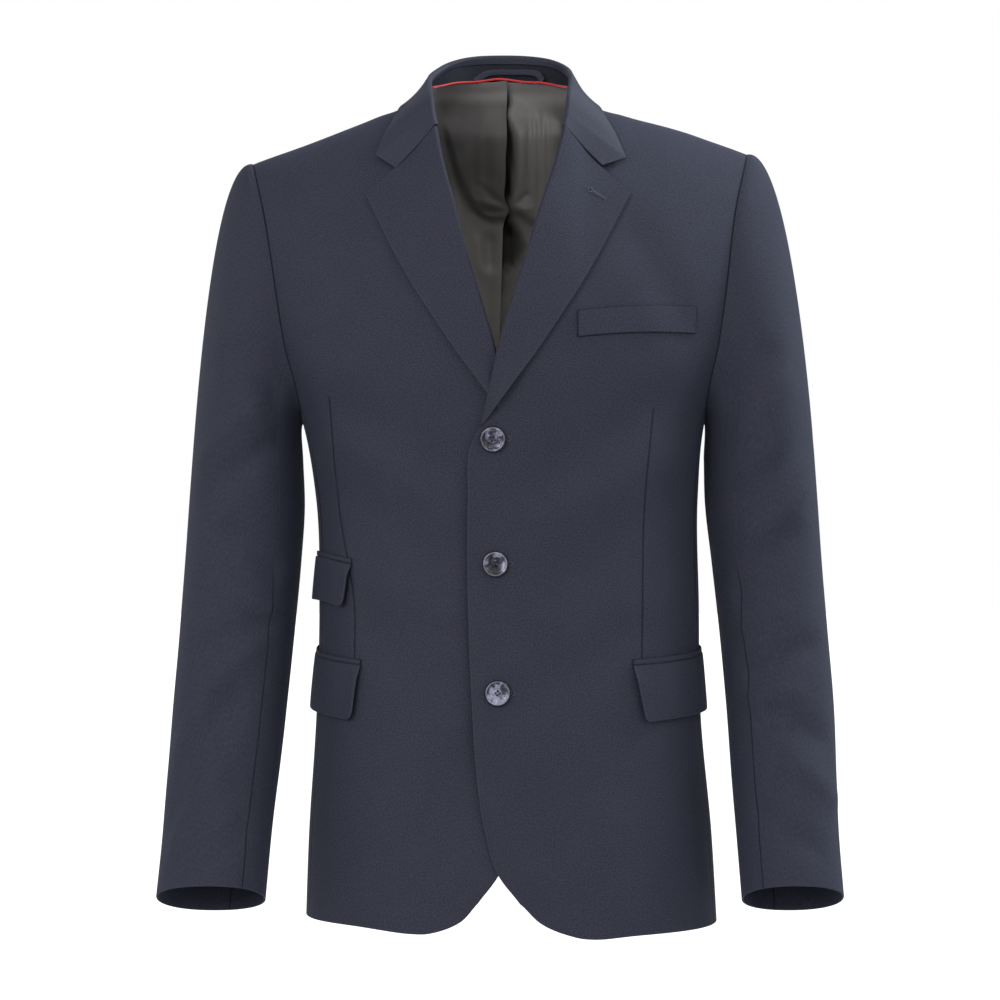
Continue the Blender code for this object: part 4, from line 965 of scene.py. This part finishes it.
pockets = {
    "flap": {"thick": 1.4, "edge": 0.5, "lift": 3, "flare": 3.6, "swell": 0.8},
    "jet": {"thick": 1.2, "edge": 0.5, "lift": 1.9, "reach": 3, "swell": 0.5, "tuck": 0.9},
    "frontStand": 3,       # the front edge of a flap stands off a little more than the rest
    # side, jet, flap, x of the front end, outer angle, top at the front, top at the side, depth, corner,
    # arch of the mouth, jet depth, how far the front edge slants, in degrees round the body
    "rows": [
        (right, "ticket_jet", "ticket_flap", 125.5, 2, -402.5, -397, 38, 8, 2.2, 4.6, 4),
        (right, "pocket_jet_right", "pocket_flap_right", 118.5, -9, -489, -480, 48, 8, 0, 4.6, 2.4),
        (left, "pocket_jet_left", "pocket_flap_left", 113, -9, -489, -480.5, 49, 5, 0, 5.2, 4)],
}


def pocketStrip(mouth, top, bottom, rows, columns, lift, swell, slant=0, flare=0, corner=0, tuck=0):
    # top and bottom are measured down from the top edge of the flap; the free corners are rounded
    side, frontX, outerAngle, topFront, topSide, arch = mouth
    frontAngle = angleAt(side, float(side * frontX), float(topFront))
    share, drop = np.broadcast_arrays(steps(columns)[None], steps(rows)[:, None])
    ends = bodyPoint(side, np.array([frontAngle, outerAngle]), table(topFront, topSide))
    span, tall = np.linalg.norm(ends[1] - ends[0]) * 1.06, bottom - top
    if corner:
        a, b = roundCorner(share * span, (1 - drop) * tall, corner)
        share, drop = a / span, 1 - b / tall
        a, b = roundCorner((1 - share) * span, (1 - drop) * tall, corner * 0.4)
        share, drop = 1 - a / span, 1 - b / tall
    begin = frontAngle - slant * drop
    angle = begin + share * (outerAngle - begin)
    level = topFront + share * (topSide - topFront) + arch * np.sin(math.pi * share) - top - drop * tall
    lift = lift + flare * drop * (0.25 + 0.75 * ease(1.5 * share - 0.5)) - tuck * ease(drop * tall + top, -0.8, 0.8)
    lift = lift + pockets["frontStand"] * (slant > 0) * ease(drop, 0, 0.3) * bell(share * span / 9)
    lift = lift + swell * np.sin(math.pi * share) ** 0.5 * np.sin(math.pi * drop) ** 0.5
    return faced(side, angle, level, frontPoint(side, angle, level, lift))


for side, jet, flap, frontX, outerAngle, topFront, topSide, depth, corner, arch, jetDepth, slant in pockets["rows"]:
    mouth = side, frontX, outerAngle, topFront, topSide, arch
    look = pockets["jet"]
    strip = pocketStrip(mouth, -jetDepth, look["reach"], 12, 60, look["lift"], look["swell"], tuck=look["tuck"])
    piece = clothPiece("bound_" + jet, *strip, look["thick"], look["edge"], facingCloth, allBorders, "")
    dress(jet)
    look = pockets["flap"]
    strip = pocketStrip(mouth, 0, depth, 34, 56, look["lift"], look["swell"], slant, look["flare"], corner)
    piece = clothPiece("hanging_" + flap, *strip, look["thick"], look["edge"], facingCloth, "bottom", "left right top")
    dress(flap)

# x, bottom and top at each end
welt = {"thick": 1.4, "edge": 0.45, "lift": 1.9, "arch": 2,
        "ends": table((65.5, -210, -187), (168.5, -205.5, -181.5))}


def breastWelt():
    # straight between its two ends, with a parabola's arch
    share, rise = np.broadcast_arrays(steps(71)[None], steps(17)[:, None])
    x, bottom, top = (start + share * (end - start) for start, end in welt["ends"].T)
    height = bottom * (1 - rise) + top * rise + welt["arch"] * 4 * share * (1 - share)
    angle, level = placeAt(left, x, height)
    return faced(left, angle, level, frontPoint(left, angle, level, welt["lift"]))


piece = clothPiece("breast_pocket_welt", *breastWelt(), welt["thick"], welt["edge"], facingCloth, allBorders, "")
dress("breast_welt")
print("jacket: pockets made")


# lining, piping and hanging loop

lining = {
    "thick": 0.8, "edge": 0.35, "lift": -3.4, "hang": 4, "hangTop": 10, "hemBack": -672, "hemSide": -700,
    "neckGap": -2.4, "seamGap": 4, "bloused": 12, "standOff": 2.6, "underlay": 9, "bagDepth": 6,
    "neckColumns": 50, "caught": {left: 2.8, right: 4.2},
    # height, x of the free edge of the pleat: it wanders, and is pinched and twisted once
    "pleatEdge": table((-672, 0), (-300, -3), (-208, -2.4), (-170, -0.6), (-135, 0.6), (-112, 1.4), (-97, 2.6),
                       (-90, 5.4), (-85, 7.4), (-80, 5), (-74, 3.4), (-58, 4.6), (-40, 5), (-20, 6.3), (0, 6),
                       (14, 6.6), (30, 6.8)),
    # height, how far across the deep side of the pleat goes, its depth
    "valley": table((-672, -2, 3), (-300, -3, 5), (-208, 0.5, 7), (-155, 2, 8), (-143, 6, 9), (-134, 14, 10),
                    (-125, 19, 10), (-114, 19, 10), (-105, 16, 10), (-98, 12, 9), (-91, 9, 8), (-86, 7.5, 7),
                    (-79, 9, 9), (-68, 10.6, 11), (-52, 12.2, 11), (-36, 13.2, 11), (-20, 11.8, 9), (-8, 9, 6),
                    (0, 6.6, 3), (7, 9.2, 3), (14, 9, 2.4), (22, 7.4, 1), (28, 6.2, 0.4)),
    # the lining hangs in a bag on each side: height and x of the right one's edge, x and height of the left one's
    "rightBag": table((-96, 4), (-95, -6), (-93, -13), (-89, -20), (-81, -27), (-69, -33.5), (-50, -40.5),
                      (-30, -46.5), (2, -54), (30, -62)),
    "leftBag": table((-10, -84), (8, -85), (16, -88), (24, -94), (34, -98), (46, -93), (62, -84), (90, -80)),
    # start x, z and end x, z, half width, depth towards the wearer's front (+) or back (-)
    "folds": {
        right: table(
            (-52, -20, -36, -84, 4, -2.4), (-40, 6, -40, -30, 9, 1.4), (-14, -6, -16, -62, 9, -2),
            (-26, -30, -22, -90, 7, 1.6), (3, -82, -20, -62, 3, -1.3), (3, -86, -24, -88, 2.8, -1.4),
            (2, -84, -24, -75, 3, 1.2), (-10, -108, -9, -138, 5.5, -4), (-20, -110, -14, -146, 5, 1.8),
            (-10, -150, -16, -232, 7, -2.4), (-30, 12, -24, -6, 3, 0.6), (-44, 12, -40, -4, 2.6, -0.7)),
        left: table(
            (20, -6, 19, -64, 4, 1.2), (27, -4, 27, -74, 1.8, -1.3), (31, -2, 31.5, -80, 1.6, 1),
            (35, -6, 35.5, -84, 1.6, -1.3), (39, -4, 39.5, -76, 1.6, 1), (43, -10, 43, -70, 1.8, -1.1),
            (56, 0, 60, -46, 9, -4.5), (9, -84, 26, -70, 3, -1.6), (10, -86, 30, -84, 3, 1.2),
            (32, -110, 28, -146, 7, 2), (12, -150, 8, -230, 6, -2), (16, 14, 22, 2, 2, 0.6)),
    },
}


def liningHalf(side):
    # the back's places set inside it, brought forward by hang, pleat, bag, blouse and folds added up
    last = armholeEdge(armhole["back"], body["backSeam"], lining["hemSide"])
    last = polyline(last, np.interp(steps(170), (0, 0.2, 1), (0, 0.53 * (len(last) - 1), len(last) - 1)))
    angle, level = backPlaces(side, lining["hemBack"], last, lining["neckColumns"], 15, 34, 136)
    normal = bodyNormal(side, angle, level)
    points = bodyPoint(side, angle, level) + normal * lining["lift"]
    points[..., 1] -= lining["hang"] * ease(points[..., 2], lining["hangTop"], lining["hangTop"] - 60)
    gap = np.where(np.arange(len(points[-1])) < lining["neckColumns"], lining["neckGap"], lining["seamGap"])
    points[-1] += unit(points[-2] - points[-1]) * gap[:, None]
    points[:, -1] += unit(points[:, -2] - points[:, -1]) * lining["seamGap"] * 0.8
    x, z = points[..., 0].copy(), points[..., 2]
    free = follow(lining["pleatEdge"], z)
    # Shade is painted shade, how much darker than plain cloth it is: dark inside the bags and the pleat; below zero it
    # is painted light, where light falls in.
    if side == right:
        points[..., 0] += free * ease(x, -16, 0)
        forward = lining["standOff"] * ease(x, -18, 0)
        x = points[..., 0]
        inside = ease(x - follow(lining["rightBag"], z), -3, 5) * ease(z, -99, -91)
        shade = 0.38 * inside - 0.42 * (1 - inside) * ease(z, -50, -80) - 1.15 * ease(z, 6, 18)
    else:
        points[..., 0] -= (lining["underlay"] - free) * ease(x, 16, 0)
        forward = -1.5 * ease(x, 8, 0)
        x = points[..., 0]
        inside = ease(z - follow(lining["leftBag"], x), -2, 5)
        across, deep = np.moveaxis(follow(lining["valley"], z), -1, 0)
        forward = forward - deep * (1 - ease(x - across, -3, 3.5))
        soft = 2.6 + 0.7 * np.maximum(across - 11, 0)
        shade = (1 - ease((x - across) / soft + 0.85)) * (0.3 + 0.7 * ease(z, -142, -128))
        shade = np.maximum(shade, 0.5 * ease(x, 40, 56) * ease(z, 8, -16))
        shade = shade - 0.8 * ease(z, 2, 16) * ease((x - across) / 4)
    near = ease(np.abs(x), 110, 60)
    forward = forward + lining["bagDepth"] * (inside - 0.5) * near * ease(z, 2, -28) * ease(z, -200, -140)
    forward = forward + lining["bloused"] * ease(z, 18, -22) * near + foldRelief(x, z, lining["folds"][side])
    # under the piping the lining is caught in the seam, a little in front of the stand
    caught = ease(z - points[-1:, :, 2], -9, -1)
    points[..., 1] -= lining["caught"][side] * caught + forward * (1 - caught)
    # in place of a seam line, the painted shade: 25 is plain cloth, 0 the dark inside of the pleat, and more is painted
    # light where light falls in
    return points, gridNormals(points, -normal), 25 * (1 - shade)


for side in (left, right):
    node = "lining_back_" + sideName[side]
    points, normals, shade = liningHalf(side)
    piece = clothPiece("satin_" + node, points, normals, lining["thick"], lining["edge"], liningSatin,
                       free="left", line=shade)
    dress(node)

piping = {"inset": 9.2, "rise": 1, "radius": 1, "sides": 14}
neckSeam = fine(seamLine, len(seamLine) // 2 - 4, len(seamLine) // 2 + 4, 160)
pipingPath = neckSeam + towardsNeck(neckSeam) * piping["inset"] + (0, 0, piping["rise"])
piece = makeMesh("red_neck_piping", *tubePoints(pipingPath, piping["radius"], piping["sides"]), pipingCord)
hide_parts("neck_piping")

hanger = {"width": 5, "inset": 7.2, "thick": 1, "edge": 0.4,
          "places": table((-24, 31), (-12, 38.5), (8, 39.5), (32, 38), (40, 30.5))}  # x, z


def hangerLoop():
    # a strip under a curve of points, on a line set in from the neck seam
    x, z = fine(hanger["places"], 0, 4, 60).T
    front = neckSeam + towardsNeck(neckSeam) * hanger["inset"]
    top = np.column_stack([x, np.interp(x, front[:, 0], front[:, 1]), z])
    bottom = top - (0, 0, hanger["width"])
    bottom[:, 0] = x.mean() + (x - x.mean()) * 0.9
    share = steps(8)[:, None, None]
    points = bottom * (1 - share) + top * share
    points[..., 1] -= 0.5 * np.sin(math.pi * share[..., 0])
    return points, gridNormals(points, np.broadcast_to((0, -1, 0), points.shape))


piece = clothPiece("folded_hanger_loop", *hangerLoop(), hanger["thick"], hanger["edge"], facingCloth, "", "left bottom")
dress("hanger_loop")
print("jacket: lining and neck trims made")


# buttons

button = {
    "thickness": 3.4, "holeRadius": 0.9, "holeSpread": 1.75, "standOff": 0.8, "sides": 72,
    "strandRadius": 0.26, "strandGap": 0.28, "strandSlant": 0.25, "shankRadius": 1.6, "shankEnds": (0.3, -1.2),
    # name, x, height, turn
    "rows": [("top", -6, -296, 20), ("middle", -4, -402, 75), ("bottom", -2, -512, 130)],
    # distance out, height from the front face or the back face: dished middle, raised rim, rounded back
    "front": table((0, -1.15), (3.6, -1.12), (6.6, -0.95), (8, -0.62), (8.8, -0.1), (9.6, 0.06), (10.4, -0.2),
                   (10.9, -0.75), (11, -1.4)),
    "back": table((10.6, 0.7), (9, 0.12), (6, 0), (0, 0)),
    # along a strand, its height over the front face's middle plane
    "strand": table((0, -0.9), (0.15, 0.75), (0.5, 1.15), (0.85, 0.75), (1, -0.9)),
}


def drilledButton():
    # a profile turned round an axis, less four tubes
    half, sides = button["thickness"] / 2, button["sides"]
    profile = fine(join([button["front"] + (0, half), button["back"] - (0, half)]), 0, 12, 48)
    (c, s), rings = cosSin(steps(sides, 0, 360)[:-1]), profile[1:-1]
    points = np.stack([rings[:, :1] * c, rings[:, :1] * s, rings[:, 1:] * np.ones_like(c)], axis=-1).reshape(-1, 3)
    faces = ringFaces(len(rings), sides, len(points), len(points) + 1)
    points = join([points, [(0, 0, profile[0, 1]), (0, 0, profile[-1, 1])]])
    blank = makeMesh("button_blank", points, faces, resin)
    drills = []
    for around in (45, 135, 225, 315):
        x, y = button["holeSpread"] * np.array(cosSin(around))
        drills.append(tubePoints([(x, y, z) for z in (-4, 0, 4)], button["holeRadius"], 24, up=(1, 0, 0)))
    drill = makeMesh("button_drill", *joined(drills), resin)
    cut = blank.modifiers.new("holes", "BOOLEAN")
    cut.operation, cut.solver, cut.object = "DIFFERENCE", "EXACT", drill
    done = bpy.data.meshes.new_from_object(blank.evaluated_get(bpy.context.evaluated_depsgraph_get()))
    for helper in (blank, drill):
        bpy.data.objects.remove(helper)
    return done


def onFront(side, x, height, lift):
    # a point of the worn front and the direction out of it
    angle, level = placeAt(side, np.asarray(x, float), np.asarray(height, float))
    return frontPoint(side, angle, level, lift), bodyNormal(side, angle, level)


bpy.context.view_layer.update()
drilled = drilledButton()
for name, x, height, spin in button["rows"]:
    node = "button_" + name
    centre, out = onFront(left, x, height, button["standOff"] + button["thickness"] / 2)
    across = unit(np.cross((0, 0, 1), out))
    axes = np.stack([across, np.cross(out, across), out])
    mesh = drilled.copy()
    flat = np.zeros(len(mesh.vertices) * 3, np.float32)
    mesh.vertices.foreach_get("co", flat)
    local = flat.reshape(-1, 3) / mm
    mesh.attributes.new("out", "FLOAT", "POINT").data.foreach_set("value", np.hypot(local[:, 0], local[:, 1]) * mm)
    c, s = cosSin(spin)
    local = local @ table((c, s, 0), (-s, c, 0), (0, 0, 1)) @ axes + centre
    mesh.vertices.foreach_set("co", (local * mm).astype(np.float32).ravel())
    mesh.update()
    mesh.shade_smooth()
    mesh.set_sharp_from_angle(angle=math.radians(50))
    piece = addObject("resin_" + node, mesh)
    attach(piece, "root")
    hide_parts(node)
    # two slanted strands through the four holes, and the wound shank behind
    strands = []
    t, spread = steps(12), button["holeSpread"] * 0.707
    lifted = np.interp(t, *button["strand"].T)
    for shift in (end * spread + beside * button["strandGap"] for end in (-1, 1) for beside in (-1, 1)):
        path = np.stack([shift + button["strandSlant"] * (t - 0.5), spread * (2 * t - 1), lifted], axis=-1)
        strands.append(tubePoints(path @ axes + centre, button["strandRadius"], 8, up=out))
    makeMesh("thread_" + node, *joined(strands), lapelThread)
    shank = centre + out * (steps(4, *button["shankEnds"]) - button["thickness"] / 2)[:, None]
    makeMesh("shank_" + node, *tubePoints(shank, button["shankRadius"], 16, up=across), navyThread)
bpy.data.meshes.remove(drilled)
print("jacket: buttons made")


# buttonholes

buttonhole = {"eye": 1.9, "leg": 0.55, "bead": 0.42, "swell": 0.22, "pitch": 0.75,
              "eyeOut": 13, "length": 19, "lift": 0.1,
              "lapel": {"x": 77, "height": -82.5, "length": 16, "slope": 149}}


def keyhole(x, height, length, slope, surface):
    # an eye at one end and two close legs, bound with stitches that swell and thin along the way
    loop = buttonhole["eye"] * np.column_stack(cosSin(steps(39, -160, 160)))
    lower = np.column_stack([steps(69, -length, loop[0, 0]), np.full(70, -buttonhole["leg"])])
    upper = lower[::-1] * (1, -1)
    flat = evenly(join([lower[:-1], loop, upper[1:]]), 220)
    c, s = cosSin(slope)
    path = surface(x + flat[:, 0] * c - flat[:, 1] * s, height + flat[:, 0] * s + flat[:, 1] * c)
    wave = buttonhole["swell"] * np.sin(math.tau * lengthAlong(path) / buttonhole["pitch"])
    return tubePoints(path, buttonhole["bead"] * (1 + wave), 8, up=(0, -1, 0))


def onLapel(x, height):
    # the mean of the nearest points of the lapel, each weighed by how near it is
    face = lapelPiece(left)[0][lapel["columns"] // 8:, lapel["wrapSteps"]:].reshape(-1, 3)
    away = (x[:, None] - face[:, 0]) ** 2 + (height[:, None] - face[:, 2]) ** 2
    weight = 1 / (away + 0.2) ** 2
    return np.column_stack([x, (weight * face[:, 1]).sum(axis=1) / weight.sum(axis=1) - 0.15, height])


for name, x, height, _ in button["rows"]:
    stitched = keyhole(x + buttonhole["eyeOut"], height, buttonhole["length"], 0,
                       lambda x, height: onFront(left, x, height, buttonhole["lift"])[0])
    makeMesh("buttonhole_" + name, *stitched, navyThread)
makeMesh("buttonhole_lapel", *keyhole(**buttonhole["lapel"], surface=onLapel), lapelThread)
print("jacket: buttonholes made")


# camera, light and floor

studio = {"distance": 3, "height": -0.348, "lens": 122.44, "sensor": 36, "floor": -1.45, "floorReach": 30}
camera = addObject("camera", bpy.data.cameras.new("camera"))
camera.data.lens, camera.data.sensor_width = studio["lens"], studio["sensor"]
camera.location = (0, -studio["distance"], studio["height"])
camera.rotation_euler = (math.radians(90), 0, 0)
bpy.context.scene.camera = camera

lights = [  # name, place, aim, size, power, colour
    ("key", (-1.5, -2.8, 0.5), (0, 0, -0.35), 1.2, 28, (1, 0.99, 0.98)),
    ("topRight", (1.9, 0.45, 1.75), (0.15, 0, -0.05), 0.8, 52, (0.8, 0.87, 1)),
    ("rimRight", (2.3, 0.3, -0.1), (0.2, 0, -0.3), 1, 5, (0.86, 0.91, 1)),
    ("rimLeft", (-2.3, 0.3, -0.2), (-0.2, 0, -0.3), 1, 3, (0.95, 0.97, 1)),
]
for name, place, aim, size, power, colour in lights:
    lamp = addObject(name, bpy.data.lights.new(name, "AREA"))
    lamp.data.size, lamp.data.energy, lamp.data.color = size, power, colour
    lamp.location = place
    ahead = np.subtract(aim, place)
    yaw, pitch = math.atan2(ahead[1], ahead[0]), math.asin(ahead[2] / np.linalg.norm(ahead))
    lamp.rotation_euler = (math.radians(90) + pitch, 0, yaw - math.radians(90))

# The backdrop is white to the camera. For the jacket, the studio is white in front, darker behind and overhead,
# and darkest over the jacket's right.
world = bpy.data.worlds.new("white studio")
world.use_nodes = True
sky = world.node_tree
x, y, z = addNode(sky, "SeparateXYZ", {0: addNode(sky, "TexCoord", {}, "Generated")}).node.outputs
behind = remap(sky, y, -0.45, 0.25, 1.14, 0.36, "SMOOTHSTEP")
over = remap(sky, z, 0.25, 0.7, 1, remap(sky, x, -0.8, 0.8, 0.35, 0.85), "SMOOTHSTEP")
seen = addNode(sky, "LightPath", {}, "Is Camera Ray")
strength = addNode(sky, "Mix", {0: seen, 2: times(sky, behind, over), 3: 1}, data_type="FLOAT")
wire(sky, sky.nodes["Background"], {"Strength": strength, "Color": (1, 1, 1, 1)})
bpy.context.scene.world = world
bpy.context.scene.view_settings.view_transform = "Standard"

floorLook = {"sockets": {"Base Color": (0.55, 0.55, 0.55, 1), "Roughness": 1,
                         "Emission Color": (1, 1, 1, 1)}}
paleFloor = newMaterial("pale floor", floorLook, lambda tree, look: {
    "Emission Strength": addNode(tree, "LightPath", {}, "Is Camera Ray")})
floorMesh = bpy.data.meshes.new("floor")
reach = studio["floorReach"]
floorMesh.from_pydata([(x, y, studio["floor"]) for x, y in ((-reach, -reach), (reach, -reach), (reach, reach),
                                                           (-reach, reach))], [], [(0, 1, 2, 3)])
floorMesh.materials.append(paleFloor)
floor = addObject("floor", floorMesh)

made = [o for o in bpy.context.scene.objects if o.type == "MESH" and not o.hide_render and o != floor]
print("jacket: triangles", sum(len(o.data.loops) - 2 * len(o.data.polygons) for o in made))
print("jacket: done")
